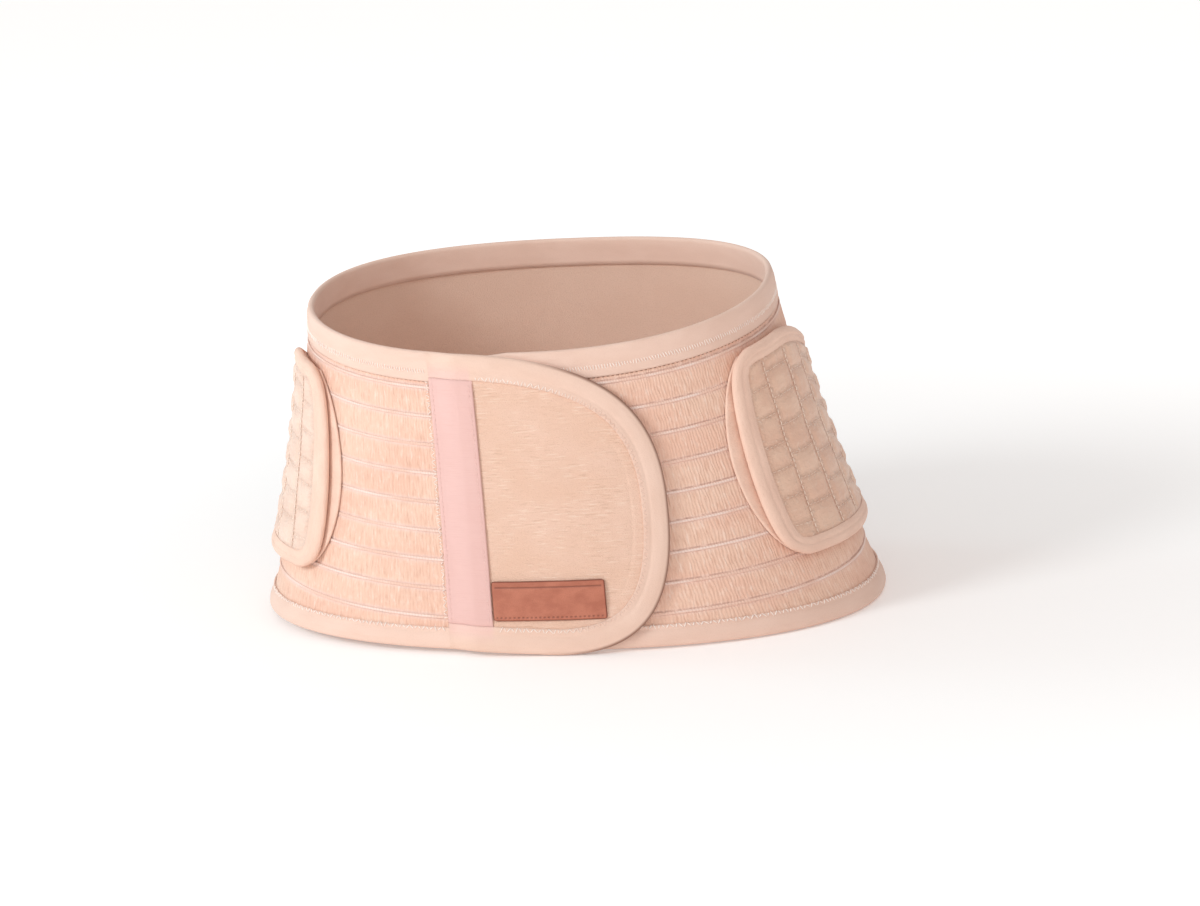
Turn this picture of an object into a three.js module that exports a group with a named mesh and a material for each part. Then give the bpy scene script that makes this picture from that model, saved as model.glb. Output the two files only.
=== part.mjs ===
// Waist trimmer belt, closed round the waist: a ribbed elastic panel with bound edges, a front flap with a
// rounded end, a seam tape, a label patch, and a quilted strap on each side.
//
// Frame: millimetres, +Z up, the front towards -Y, and +X to the right as seen from the front. The origin is
// on the waist's axis at the belt's middle height. Every piece is drawn flat, along the belt and up it, and
// then laid round the waist. Its depth is counted outwards from the inner face of the elastic panel.

import * as THREE from "three";

// Level sections of the waist inside the belt; lean is the sideways shift of a section's centre
const WAIST_SECTIONS = [
  { z: -95, halfWidth: 185, halfDepth: 129.5, lean: 5.4 },
  { z: 0, halfWidth: 153.5, halfDepth: 113.5, lean: 0.7 },
  { z: 100, halfWidth: 133, halfDepth: 98.5, lean: -5.4 },
];
const SECTION_POWER = 2.25; // 2 makes an ellipse, and more is squarer

// Heights of the belt's edges; tilt raises the +X side and lowers the other
const TOP_EDGE = { front: 82, side: 101.8, back: 110.5, tilt: 1.6 };
const BOTTOM_EDGE = { front: -83.5, side: -82.6, back: -82.6, tilt: -2.5 };

const GAP = 0.3; // between pieces that touch

// Elastic panel: bands between ribs that run parallel to the edges
const PANEL_THICKNESS = 2.4;
const RIB_THICKNESS = 1.7;
const BOUND_THICKNESS = 1.6; // inside the bindings
const BANDS = 8;
const FIRST_RIB = 20.3; // below the top edge
const LAST_RIB = { front: 17, side: 27, back: 27, tilt: 0 }; // above the bottom edge
const RIB_HALF_WIDTH = 2.2;
const PANEL_LINES = 40;
const INNER_LEVELS = 3;
const UNDER_END = -32; // hidden end beneath the flap, from the front centre
const UNDER_END_DIP = { depth: 3, length: 30 }; // its top corner is cut down, out of sight
const SEAM = -40; // where panel and flap are sewn together

// Cloth strips folded over the edges
const CLOTH = 0.9;
const FOLD = 1;
const EDGE_INSET = 1.5; // from a strip's fold to the edge inside it
const TOP_BINDING_WIDTH = 16.8;
const BOTTOM_BINDING_WIDTH = 12;
const FLAP_BINDING_WIDTH = 14.5;

// Flap: it ramps up from the panel's level so as to lie over the under-end
const FLAP_THICKNESS = 2;
const FLAP_INSET = 2; // from the flap's outline to the cloth inside its binding
const FLAP_LIFT = 4.35;
const RAMP = { start: -51, end: -34 };
const FLAP_UPPER_CURVE = [[-34, 82.2], [38, 79], [75, 55], [75, -5]];
const FLAP_LOWER_CURVE = [[75, -5], [76, -62], [56, -86], [10, -86]];
const FLAP_LOWER_EDGE = [[-5, -85.2], [-20, -84.5], [-34, -83.8]];
const FLAP_COLUMNS = [SEAM + GAP, RAMP.end, -23, -12, 0, 12, 24, 36, 46, 55, 62, 67, 70, 72.2];
const UPPER_STEPS = 13;
const LOWER_STEPS = 11;
const FLAP_LEVELS = 4;

const TAPE = { left: -52.5, middle: -43, right: -26, thickness: 0.8, levels: 4 };
const TAPE_COLUMNS = [TAPE.left, RAMP.start, TAPE.middle, RAMP.end, TAPE.right];
const LABEL = { left: -25.4, right: 36.8, bottom: -66.5, top: -44.5, thickness: 1.6, corner: 1.5 };
const LABEL_COLUMNS = 6;

// Side straps: lengths run back from a strap's rounded front end, heights up from its bottom edge
const STRAP_HEIGHT = 119; // at the front end, and in proportion further back
const STRAP_BELOW_TOP = 22.5;
const REAR_TAPER = { start: 172, end: 262, drop: 26 }; // a strap's top edge comes down towards the back
const END_CORNER = 9; // extra curve at the two corners of the rounded end
const END_REACH = 60; // length over which the rounded end straightens out
const PAD = { apex: 124.3, bow: 6, depth: 6.4, edge: 1.7, crest: 3.3, inset: 2.4, slack: 0.35 };
const UNDERLAY = { apex: 117, bow: 18, depth: 3.15, thickness: 1.1, inset: 3, rearInset: 4 };
const STRAP_RIM = { end: 12, side: 9 }; // binding widths across the ends and along the sides
const END_WIDENING = STRAP_RIM.end / STRAP_RIM.side;
const FIRST_CELL = 17.7; // part cell beside the front rim
const CELL_LENGTH = 23.6;
const CELL_COLUMNS = 8;
const CELL_ROWS = 6.5; // the half row is at the bottom and at the top by turns
const CELL_SHOULDER = 2.6; // from a cell's edge to its crest
const CELL_GROOVE = 0.8; // half the width of the line between two columns of cells
const STRAP_LENGTH = 2 * STRAP_RIM.end + FIRST_CELL + CELL_COLUMNS * CELL_LENGTH;
const UNDERLAY_STEPS = 17;
// The left strap hangs lower, and its turn puts its top corner further back than its bottom corner
const STRAPS = [
  { name: "left", side: -1, aboveBottom: 34, shift: 2.2, turn: 6 },
  { name: "right", side: 1, aboveBottom: 38, shift: 0, turn: 0 },
];
const LEVEL_SHARES = [0, 0.1, 0.3, 0.5, 0.7, 0.9, 1];

const materials = {
  elastic: new THREE.MeshStandardMaterial({ color: 0xe4b795, roughness: 0.9 }),
  binding: new THREE.MeshStandardMaterial({ color: 0xe6bd9e, roughness: 0.85 }),
  fleece: new THREE.MeshStandardMaterial({ color: 0xe9c3a1, roughness: 0.95 }),
  tape: new THREE.MeshStandardMaterial({ color: 0xf0c4b8, roughness: 0.6 }),
  leather: new THREE.MeshStandardMaterial({ color: 0xb4694a, roughness: 0.55 }),
  quilt: new THREE.MeshStandardMaterial({ color: 0xdcb293, roughness: 0.7 }),
};

// Waist surface

// The parabola through a column of the section table
function sectionValue(z, column) {
  return WAIST_SECTIONS.reduce((sum, row) => {
    const others = WAIST_SECTIONS.filter((other) => other !== row);
    return sum + others.reduce((part, other) => (part * (z - other.z)) / (row.z - other.z), row[column]);
  }, 0);
}

function waistPoint(angle, z) {
  const squared = (value) => Math.sign(value) * Math.abs(value) ** (2 / SECTION_POWER);
  const x = sectionValue(z, "lean") + sectionValue(z, "halfWidth") * squared(Math.sin(angle));
  const y = -sectionValue(z, "halfDepth") * squared(Math.cos(angle));
  return new THREE.Vector3(x, y, z);
}

// Length round half the waist at middle height, from the front centre to each of a row of equal angles
const ARC_STEPS = 720;
const arcLengths = [0];
for (let step = 1; step <= ARC_STEPS; step += 1) {
  const here = waistPoint((step * Math.PI) / ARC_STEPS, 0);
  const before = waistPoint(((step - 1) * Math.PI) / ARC_STEPS, 0);
  arcLengths.push(arcLengths[step - 1] + here.distanceTo(before));
}
const HALF_GIRTH = arcLengths[ARC_STEPS];

function angleAt(along) {
  const turned = THREE.MathUtils.euclideanModulo(along + HALF_GIRTH, 2 * HALF_GIRTH) - HALF_GIRTH;
  const length = Math.min(Math.abs(turned), HALF_GIRTH);
  const step = Math.max(1, arcLengths.findIndex((arc) => arc >= length));
  const share = (length - arcLengths[step - 1]) / (arcLengths[step] - arcLengths[step - 1]);
  return (Math.sign(turned) * (step - 1 + share) * Math.PI) / ARC_STEPS;
}

// The waist narrows upwards, so a length along the belt spans more of the waist higher up
function girthScale(z) {
  const girth = (height) => sectionValue(height, "halfWidth") + sectionValue(height, "halfDepth");
  return girth(z) / girth(0);
}

const NUDGE = 0.002;
function place(along, z, depth) {
  const angle = angleAt(along);
  const sideways = waistPoint(angle + NUDGE, z).sub(waistPoint(angle - NUDGE, z));
  const upwards = waistPoint(angle, z + 1).sub(waistPoint(angle, z - 1));
  const outwards = sideways.cross(upwards).normalize();
  return waistPoint(angle, z).addScaledVector(outwards, depth);
}

function edgeHeight(edge, angle) {
  const level = (edge.front + 2 * edge.side + edge.back) / 4;
  const slope = (edge.front - edge.back) / 2;
  const waist = (edge.front - 2 * edge.side + edge.back) / 4;
  return level + slope * Math.cos(angle) + waist * Math.cos(2 * angle) + edge.tilt * Math.sin(angle);
}

function liftAt(front) {
  return FLAP_LIFT * THREE.MathUtils.clamp((front - RAMP.start) / (RAMP.end - RAMP.start), 0, 1);
}

// Solids from rings of corners

const CAP_BOW = 1e-4; // a slight bow, so that corners in a row still count when an end is closed
function corner(along, z, depth, flatX = z, flatY = depth) {
  return { at: place(along, z, depth), flat: new THREE.Vector2(flatX, flatY + CAP_BOW * flatX ** 2) };
}

function capFaces(ring, start, reversed) {
  const outline = ring.map(({ flat }) => flat);
  const turn = Math.sign(THREE.ShapeUtils.area(outline));
  return THREE.ShapeUtils.triangulateShape(outline, []).map((face) => {
    const sameWay = Math.sign(THREE.ShapeUtils.area(face.map((index) => outline[index]))) === turn;
    const ordered = sameWay === reversed ? [...face].reverse() : face;
    return ordered.map((index) => start + index);
  });
}

function solid(positions, faces) {
  const at = (index) => new THREE.Vector3().fromArray(positions, 3 * index);
  const volume = faces.reduce((sum, [a, b, c]) => sum + at(a).dot(at(b).cross(at(c))), 0);
  const outward = volume > 0 ? faces : faces.map(([a, b, c]) => [a, c, b]);
  const geometry = new THREE.BufferGeometry();
  geometry.setAttribute("position", new THREE.Float32BufferAttribute(positions, 3));
  geometry.setIndex(outward.flat());
  geometry.computeVertexNormals();
  return geometry;
}

// Joins rings that have the same corners in the same order, and closes the ends unless the rings go round
function loft(rings, closed = false) {
  const size = rings[0].length;
  const positions = rings.flatMap((ring) => ring.flatMap(({ at }) => at.toArray()));
  const faces = [];
  const joins = closed ? rings.length : rings.length - 1;
  for (let ring = 0; ring < joins; ring += 1) {
    const next = (ring + 1) % rings.length;
    for (let index = 0; index < size; index += 1) {
      const after = (index + 1) % size;
      const [a, b] = [ring * size + index, ring * size + after];
      const [c, d] = [next * size + index, next * size + after];
      faces.push([a, c, d], [a, d, b]);
    }
  }
  if (!closed) {
    faces.push(...capFaces(rings[0], 0, false));
    faces.push(...capFaces(rings.at(-1), (rings.length - 1) * size, true));
  }
  return solid(positions, faces);
}

// Section of a strip folded over an edge: distance in from the fold, and depth
function foldSection(width, inside, outside) {
  const outerFace = outside + GAP + CLOTH;
  const innerFace = inside - GAP - CLOTH;
  return [
    [width, outside + GAP],
    [width, outerFace],
    [FOLD, outerFace],
    [0, outside],
    [0, innerFace],
    [width, innerFace],
    [width, inside - GAP],
    [FOLD, inside - GAP],
    [FOLD, outside + GAP],
  ];
}

// A line up the belt, by its distance from the front centre and the share of the whole way round behind it
function beltLine(front, turn) {
  const along = (z) => front / girthScale(z) + turn * 2 * HALF_GIRTH;
  const angle = angleAt(along(TOP_EDGE.side));
  const lowAngle = angleAt(along(BOTTOM_EDGE.side));
  return {
    along,
    top: edgeHeight(TOP_EDGE, angle),
    bottom: edgeHeight(BOTTOM_EDGE, lowAngle),
    lastRib: edgeHeight(LAST_RIB, lowAngle),
    lift: turn === 1 ? liftAt(front) : 0,
  };
}

// Flap outline: from the tape along the top, round the end and back along the bottom

function curvePoints(controls, steps) {
  return new THREE.CubicBezierCurve(...controls.map(([x, y]) => new THREE.Vector2(x, y))).getPoints(steps);
}

const FLAP_START = TAPE.left + GAP / 2;
const upperPoints = curvePoints(FLAP_UPPER_CURVE, UPPER_STEPS);
const lowerPoints = curvePoints(FLAP_LOWER_CURVE, LOWER_STEPS).slice(1);
const flapOutline = [
  new THREE.Vector2(FLAP_START, beltLine(FLAP_START, 1).top),
  new THREE.Vector2(RAMP.start, beltLine(RAMP.start, 1).top),
  ...upperPoints,
  ...lowerPoints,
  ...FLAP_LOWER_EDGE.map(([front, z]) => new THREE.Vector2(front, z)),
  new THREE.Vector2(RAMP.start, beltLine(RAMP.start, 1).bottom),
  new THREE.Vector2(FLAP_START, beltLine(FLAP_START, 1).bottom),
];
const FLAP_TIP = 2 + UPPER_STEPS; // index of the outline's foremost point

// Moves the outline inwards, straight up or down on the ramp and square to its run beyond it
function insetOutline(distance) {
  return flapOutline.map((point, index) => {
    const before = flapOutline[Math.max(index - 1, 0)];
    const after = flapOutline[Math.min(index + 1, flapOutline.length - 1)];
    const run = after.clone().sub(before).normalize();
    const onRamp = point.x <= RAMP.end;
    const inward = onRamp ? new THREE.Vector2(0, -Math.sign(point.y)) : new THREE.Vector2(run.y, -run.x);
    return point.clone().addScaledVector(inward, distance);
  });
}

function heightOn(points, front) {
  const after = points.findIndex((point) => point.x >= front);
  const [low, high] = [points[Math.max(after - 1, 0)], points[Math.max(after, 1)]];
  return THREE.MathUtils.mapLinear(front, low.x, high.x, low.y, high.y);
}

// The flap's upper and lower edge at a distance from the front centre, moved inwards
function flapHeights(front, inset) {
  const outline = insetOutline(inset);
  const upper = heightOn(outline.slice(0, FLAP_TIP + 1), front);
  const lower = heightOn(outline.slice(FLAP_TIP).reverse(), front);
  return [lower, upper];
}

// Elastic panel and its bindings

// Lines at equal angles, from the under-end all round to the tape's left edge
const BINDING_END = TAPE.left - GAP / 2;
const bindingLines = Array.from({ length: PANEL_LINES + 1 }, (_, index) => {
  const share = index / PANEL_LINES;
  const step = Math.round(2 * ARC_STEPS * share);
  const arc = step <= ARC_STEPS ? arcLengths[step] : 2 * HALF_GIRTH - arcLengths[2 * ARC_STEPS - step];
  const line = beltLine(THREE.MathUtils.lerp(UNDER_END, BINDING_END, share), arc / (2 * HALF_GIRTH));
  const dip = UNDER_END_DIP.depth * Math.max(0, 1 - arc / UNDER_END_DIP.length);
  return { ...line, top: line.top - dip };
});

// The panel's sewn end has the flap's edges
const seamLines = [RAMP.start, SEAM - GAP].map((front) => {
  const [bottom, top] = flapHeights(front, 0);
  return { ...beltLine(front, 1), bottom, top };
});
const panelLines = [...bindingLines, ...seamLines];

function lineRing(line, section) {
  return section.map(([z, depth]) => corner(line.along(z), z, depth + line.lift));
}

function panelSection({ top, bottom, lastRib }) {
  const highest = top - EDGE_INSET;
  const lowest = bottom + EDGE_INSET;
  const firstRib = top - FIRST_RIB;
  const pitch = (firstRib - bottom - lastRib) / BANDS;
  const section = [[highest, BOUND_THICKNESS], [firstRib, RIB_THICKNESS]];
  for (let band = 0; band < BANDS; band += 1) {
    const upper = firstRib - band * pitch;
    const lower = upper - pitch;
    section.push([upper - RIB_HALF_WIDTH, PANEL_THICKNESS], [lower + RIB_HALF_WIDTH, PANEL_THICKNESS]);
    section.push([lower, RIB_THICKNESS]);
  }
  section.push([lowest, BOUND_THICKNESS]);
  for (let level = 0; level <= INNER_LEVELS; level += 1) {
    section.push([THREE.MathUtils.lerp(lowest, highest, level / INNER_LEVELS), 0]);
  }
  return section;
}

function elasticPanel() {
  return loft(panelLines.map((line) => lineRing(line, panelSection(line))));
}

function topBinding() {
  const section = foldSection(TOP_BINDING_WIDTH, 0, BOUND_THICKNESS);
  return loft(bindingLines.map((line) => {
    return lineRing(line, section.map(([distance, depth]) => [line.top - distance, depth]));
  }));
}

function bottomBinding() {
  const section = foldSection(BOTTOM_BINDING_WIDTH, 0, BOUND_THICKNESS);
  return loft(bindingLines.map((line) => {
    return lineRing(line, section.map(([distance, depth]) => [line.bottom + distance, depth]));
  }));
}

// Front flap, tape and label

function frontCorner(front, z, depth, flatX, flatY) {
  return corner(front / girthScale(z), z, depth + liftAt(front), flatX, flatY);
}

// Ring of an upright sheet: up its outer face and down its inner face
function sheetRing(front, [lower, upper], inside, outside, steps) {
  const levels = Array.from({ length: steps + 1 }, (_, index) => {
    return THREE.MathUtils.lerp(lower, upper, index / steps);
  });
  const outer = levels.map((z) => frontCorner(front, z, outside));
  const inner = levels.reverse().map((z) => frontCorner(front, z, inside));
  return [...outer, ...inner];
}

function flapPanel() {
  return loft(FLAP_COLUMNS.map((front) => {
    return sheetRing(front, flapHeights(front, FLAP_INSET), 0, FLAP_THICKNESS, FLAP_LEVELS);
  }));
}

function flapBinding() {
  const section = foldSection(FLAP_BINDING_WIDTH, 0, FLAP_THICKNESS);
  const loops = section.map(([distance]) => insetOutline(distance));
  return loft(flapOutline.map((_, index) => section.map(([distance, depth], side) => {
    const { x, y } = loops[side][index];
    return frontCorner(x, y, depth, distance, depth);
  })));
}

function seamTape() {
  const inside = PANEL_THICKNESS + GAP;
  return loft(TAPE_COLUMNS.map((front) => {
    const heights = flapHeights(Math.max(front, FLAP_START), FLAP_BINDING_WIDTH + 2 * GAP);
    return sheetRing(front, heights, inside, inside + TAPE.thickness, TAPE.levels);
  }));
}

function labelPatch() {
  const inside = FLAP_THICKNESS + GAP;
  const rounded = { left: LABEL.left + LABEL.corner, right: LABEL.right - LABEL.corner };
  const columns = Array.from({ length: LABEL_COLUMNS + 1 }, (_, index) => {
    return THREE.MathUtils.lerp(rounded.left, rounded.right, index / LABEL_COLUMNS);
  });
  const ring = (front, trim) => {
    return sheetRing(front, [LABEL.bottom + trim, LABEL.top - trim], inside, inside + LABEL.thickness, 1);
  };
  const middle = columns.map((front) => ring(front, 0));
  return loft([ring(LABEL.left, LABEL.corner), ...middle, ring(LABEL.right, LABEL.corner)]);
}

// Side straps

function strapCorner(strap, layer, length, height, depth) {
  const level = (2 * height) / STRAP_HEIGHT - 1;
  const bow = layer.bow * level ** 2 + END_CORNER * level ** 8;
  const end = layer.apex + strap.shift + strap.turn * level + bow * Math.max(0, 1 - length / END_REACH);
  const along = strap.side * (end + length);
  const angle = angleAt(along);
  const taper = REAR_TAPER.drop * THREE.MathUtils.smoothstep(end + length, REAR_TAPER.start, REAR_TAPER.end);
  const bottom = edgeHeight(BOTTOM_EDGE, angle) + strap.aboveBottom;
  const top = edgeHeight(TOP_EDGE, angle) - STRAP_BELOW_TOP - taper;
  const z = THREE.MathUtils.lerp(bottom, top, height / STRAP_HEIGHT);
  return corner(along, z, layer.depth + depth, height, depth);
}

// Levels up a flat face, closer together towards the corners of the rounded end
function strapLevels(inset) {
  return LEVEL_SHARES.map((share) => THREE.MathUtils.lerp(inset, STRAP_HEIGHT - inset, share));
}

// Heights of the lines between a column's cells
function cellLines(halfRowBelow) {
  const pitch = (STRAP_HEIGHT - 2 * STRAP_RIM.side) / CELL_ROWS;
  const first = STRAP_RIM.side + (halfRowBelow ? pitch / 2 : pitch);
  const inner = Array.from({ length: Math.floor(CELL_ROWS) }, (_, row) => first + row * pitch);
  return [STRAP_RIM.side, ...inner, STRAP_HEIGHT - STRAP_RIM.side];
}

function padRing(strap, length, halfRowBelow, crest) {
  const lines = cellLines(halfRowBelow);
  const outer = [[PAD.inset, PAD.edge]];
  lines.forEach((line, index) => {
    if (index > 0) {
      outer.push([lines[index - 1] + CELL_SHOULDER, crest], [line - CELL_SHOULDER, crest]);
    }
    outer.push([line, PAD.edge]);
  });
  outer.push([STRAP_HEIGHT - PAD.inset, PAD.edge]);
  const inner = strapLevels(PAD.inset).reverse().map((height) => [height, 0]);
  return [...outer, ...inner].map(([height, depth]) => strapCorner(strap, PAD, length, height, depth));
}

function strapPad(strap) {
  const ring = (length, column, crest) => padRing(strap, length, column % 2 === 0, crest);
  const endInset = PAD.inset * END_WIDENING;
  const rings = [ring(endInset, 0, PAD.edge)];
  let start = STRAP_RIM.end;
  for (let column = 0; column <= CELL_COLUMNS; column += 1) {
    const span = column === 0 ? FIRST_CELL : CELL_LENGTH;
    rings.push(ring(start + CELL_GROOVE, column, PAD.edge));
    rings.push(ring(start + span / 2, column, PAD.crest));
    rings.push(ring(start + span - CELL_GROOVE, column, PAD.edge));
    start += span;
  }
  rings.push(ring(STRAP_LENGTH - endInset, CELL_COLUMNS, PAD.edge));
  return loft(rings);
}

// Rim round the pad: a frame whose inner edge is further in at the ends than along the sides
function strapBinding(strap) {
  const section = foldSection(STRAP_RIM.side, -PAD.slack, PAD.edge + PAD.slack);
  const even = (share) => share;
  const closerAtCorners = (share) => (1 - Math.cos(Math.PI * share)) / 2;
  const legs = [
    { from: [0, 0], to: [0, 1], steps: 12, ease: closerAtCorners },
    { from: [0, 1], to: [1, 1], steps: 18, ease: even },
    { from: [1, 1], to: [1, 0], steps: 4, ease: even },
    { from: [1, 0], to: [0, 0], steps: 18, ease: even },
  ];
  const rings = legs.flatMap(({ from, to, steps, ease }) => Array.from({ length: steps }, (_, index) => {
    const [u, v] = [0, 1].map((axis) => THREE.MathUtils.lerp(from[axis], to[axis], ease(index / steps)));
    return section.map(([sideInset, depth]) => {
      const endInset = sideInset * END_WIDENING;
      const length = THREE.MathUtils.lerp(endInset, STRAP_LENGTH - endInset, u);
      const height = THREE.MathUtils.lerp(sideInset, STRAP_HEIGHT - sideInset, v);
      return strapCorner(strap, PAD, length, height, depth);
    });
  }));
  return loft(rings, true);
}

function strapUnderlay(strap) {
  const total = PAD.apex - UNDERLAY.apex + STRAP_LENGTH - UNDERLAY.rearInset;
  const heights = strapLevels(UNDERLAY.inset);
  const rings = Array.from({ length: UNDERLAY_STEPS + 1 }, (_, index) => {
    const length = (total * index) / UNDERLAY_STEPS;
    const outer = heights.map((height) => strapCorner(strap, UNDERLAY, length, height, UNDERLAY.thickness));
    const inner = heights.map((height) => strapCorner(strap, UNDERLAY, length, height, 0)).reverse();
    return [...outer, ...inner];
  });
  return loft(rings);
}

// Scene graph

function part(name, geometry, material) {
  const mesh = new THREE.Mesh(geometry, material);
  mesh.name = name;
  return mesh;
}

const belt = new THREE.Group();
belt.add(
  part("elastic_panel", elasticPanel(), materials.elastic),
  part("top_binding", topBinding(), materials.binding),
  part("bottom_binding", bottomBinding(), materials.binding),
  part("flap_panel", flapPanel(), materials.fleece),
  part("flap_binding", flapBinding(), materials.binding),
  part("seam_tape", seamTape(), materials.tape),
  part("label_patch", labelPatch(), materials.leather),
);
for (const strap of STRAPS) {
  belt.add(
    part(`strap_underlay_${strap.name}`, strapUnderlay(strap), materials.binding),
    part(`strap_pad_${strap.name}`, strapPad(strap), materials.quilt),
    part(`strap_binding_${strap.name}`, strapBinding(strap), materials.binding),
  );
}

export default belt;
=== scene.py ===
"""Looks of the waist trimmer belt: cloth laid round the waist in mesh code, with cords and thread on it.

Lengths are in millimetres until a mesh is made. A piece is drawn flat, along the belt and up it, and its
depth is counted outwards from the inner face of the elastic panel, as the depth of the solids is.
"""

import math

import bpy
import numpy as np
from mathutils import Matrix, Vector


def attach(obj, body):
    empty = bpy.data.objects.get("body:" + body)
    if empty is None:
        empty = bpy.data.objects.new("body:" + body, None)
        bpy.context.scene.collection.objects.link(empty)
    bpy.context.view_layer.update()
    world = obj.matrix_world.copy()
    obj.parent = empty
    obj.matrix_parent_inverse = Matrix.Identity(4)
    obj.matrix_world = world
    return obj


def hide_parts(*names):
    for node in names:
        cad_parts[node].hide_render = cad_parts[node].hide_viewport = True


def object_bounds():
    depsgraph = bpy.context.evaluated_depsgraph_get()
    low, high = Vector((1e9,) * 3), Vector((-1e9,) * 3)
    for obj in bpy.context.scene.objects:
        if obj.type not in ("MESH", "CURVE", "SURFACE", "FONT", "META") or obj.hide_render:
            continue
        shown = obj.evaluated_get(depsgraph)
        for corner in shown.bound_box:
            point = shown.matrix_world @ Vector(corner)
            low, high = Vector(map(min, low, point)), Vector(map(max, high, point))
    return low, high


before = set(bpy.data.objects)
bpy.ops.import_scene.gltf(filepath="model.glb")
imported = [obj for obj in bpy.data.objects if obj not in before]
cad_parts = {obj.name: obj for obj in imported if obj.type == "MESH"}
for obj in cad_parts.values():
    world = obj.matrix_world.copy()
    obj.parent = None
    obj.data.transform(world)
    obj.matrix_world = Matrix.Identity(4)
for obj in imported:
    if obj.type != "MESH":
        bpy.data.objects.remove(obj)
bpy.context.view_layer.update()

MM = 0.001  # metres in a millimetre

# Waist and belt edges
WAIST_SECTIONS = (
    {"z": -95.0, "half_width": 185.0, "half_depth": 129.5, "lean": 5.4},
    {"z": 0.0, "half_width": 153.5, "half_depth": 113.5, "lean": 0.7},
    {"z": 100.0, "half_width": 133.0, "half_depth": 98.5, "lean": -5.4},
)
SECTION_POWER = 2.25
ARC_STEPS = 720
NUDGE = 0.002  # the turn over which a direction is taken
TOP_EDGE = {"front": 82.0, "side": 101.8, "back": 110.5, "tilt": 1.6}
BOTTOM_EDGE = {"front": -83.5, "side": -82.6, "back": -82.6, "tilt": -2.5}

GAP = 0.3  # between neighbouring pieces
CLOTH = 0.9  # thickness of a folded strip
EDGE_INSET = 1.5  # from the belt's edge to the panel inside its binding

# Elastic panel
PANEL_CREST = 2.4
RIB_DEPTH = 1.7
BOUND_DEPTH = 1.6
BANDS = 8
BAND_HEIGHT = 16.4  # at the front, for the materials
FIRST_RIB = 20.3
LAST_RIB = {"front": 17.0, "side": 27.0, "back": 27.0, "tilt": 0.0}
RIB_REACH = 3.4  # from a rib to the crest of the band beside it
GATHER_REACH = 5.0
FLAT_EDGE = {"start": 10.0, "width": 6.0}  # from the belt's edge: flat up to start, ribbed a width later
PANEL_COLUMNS = 430
ROWS_PER_BAND = 8
EDGE_ROWS = 4
UNDER_END = -32.0
UNDER_END_DIP = {"depth": 3.0, "length": 30.0}
SEWN_COLUMNS = (-48.0, -44.0)
SEAM = -40.0
# Painted light: towards the brightly lit left, the painted shade beside the ribs fades and the bands beside
# them go paler
LIT_LEFT_SIDE = (640.0, 720.0)  # lengths round the belt between which the ribs become faint
CORD = {"start": 0.004, "tall": 0.95, "deep": 0.42, "rise": 0.35, "sides": 8, "map_pitch": 11.0}

# Folded strips; a strip's crease, thread and width are counted from its fold
TOP_BINDING = {"width": 16.8, "crease": 11.2, "thread": 11.2, "lip": 0.25}
BOTTOM_BINDING = {"width": 12.0, "crease": 9.6, "thread": 11.2, "lip": 0.25}
FLAP_BINDING = {"width": 14.5, "crease": 10.3, "thread": 13.2, "lip": 0.25}
RIM_STRIP = {"width": 9.0, "crease": 5.2, "lip": 0.7}
FACE = {"puff": 0.4, "fold": 2.0, "crease": 0.28, "crease_width": 0.9, "lip_width": 1.5}
FACE_STEPS = 18
TURN_STEPS = 9
BACK_STEPS = 6
LOOSE = {"start": 3.0, "width": 4.0}  # from the fold to where a strip is uneven
SETTLED = 12.0  # from a strip's end to where it is uneven
CRISP = 0.15  # from a strip's end to the next row of points, so that its shading stays flat up to the end

# Flap, tape and label
FLAP_DEPTH = 2.0
FLAP_INSET = 2.0
FLAP_LIFT = 4.35
RAMP = {"start": -51.0, "width": 17.0}
RAMP_END = RAMP["start"] + RAMP["width"]
TURN_IN = 12.0  # beyond the ramp, over which the way into the flap becomes square to its outline
FLAP_UPPER_CURVE = ((-34.0, 82.2), (38.0, 79.0), (75.0, 55.0), (75.0, -5.0))
FLAP_LOWER_CURVE = ((75.0, -5.0), (76.0, -62.0), (56.0, -86.0), (10.0, -86.0))
FLAP_LOWER_EDGE = ((-5.0, -85.2), (-20.0, -84.5), (-34.0, -83.8))
FLAP_TIP = 72.4
FLAP_COLUMNS = 120
FLAP_ROWS = 110
CURVE_STEPS = 80
OUTLINE_STEP = 1.5
FLAP_SWAY = {"start": 16.0, "width": 8.0}
CONTOUR = {"inset": 18.8, "height": 0.26, "width": 1.5, "groove": 0.12, "groove_width": 0.9}
# Painted shade on the fold of the flap's binding, standing in for the shadow under the flap's edge, from
# none to full: across from its front lip, back to where the fold turns behind, and along from its ends
FLAP_FOLD_SHADE = {"front": (12.4, 14.4), "behind": (19.5, 16.5), "ends": (50.0, 95.0)}
TAPE = {"left": -52.5, "right": -26.0, "thickness": 0.8, "columns": 40, "rows": 130, "thread": 1.9}
TAPE_WIDTH = TAPE["right"] - TAPE["left"]
FLAP_PINK = {"ends": (-1.5, 1.5), "tape": (TAPE_WIDTH + 1, TAPE_WIDTH - 2), "front": (11.0, 1.0)}
TAPE_EDGE = {"side": 0.4, "side_width": 1.1, "end": 0.55, "end_width": 3.0}
TAPE_PINCH = {"depth": 0.16, "width": 0.6}
TAPE_CLEAR = 0.02  # from the lips of the flap's binding to the ends of the tape
LABEL = {"left": -25.4, "right": 36.8, "bottom": -66.5, "top": -44.5, "thickness": 1.6, "corner": 1.5}
LABEL_BEVEL = {"height": 0.7, "width": 0.9}
LABEL_STEP = 0.4
LABEL_LINE = {"top": 3.4, "bottom": 1.9, "ends": 1.6, "fade": 0.5, "width": 0.4, "depth": 0.3}
LABEL_DASH = {"length": 2.4, "sharpness": 4.0}

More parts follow.
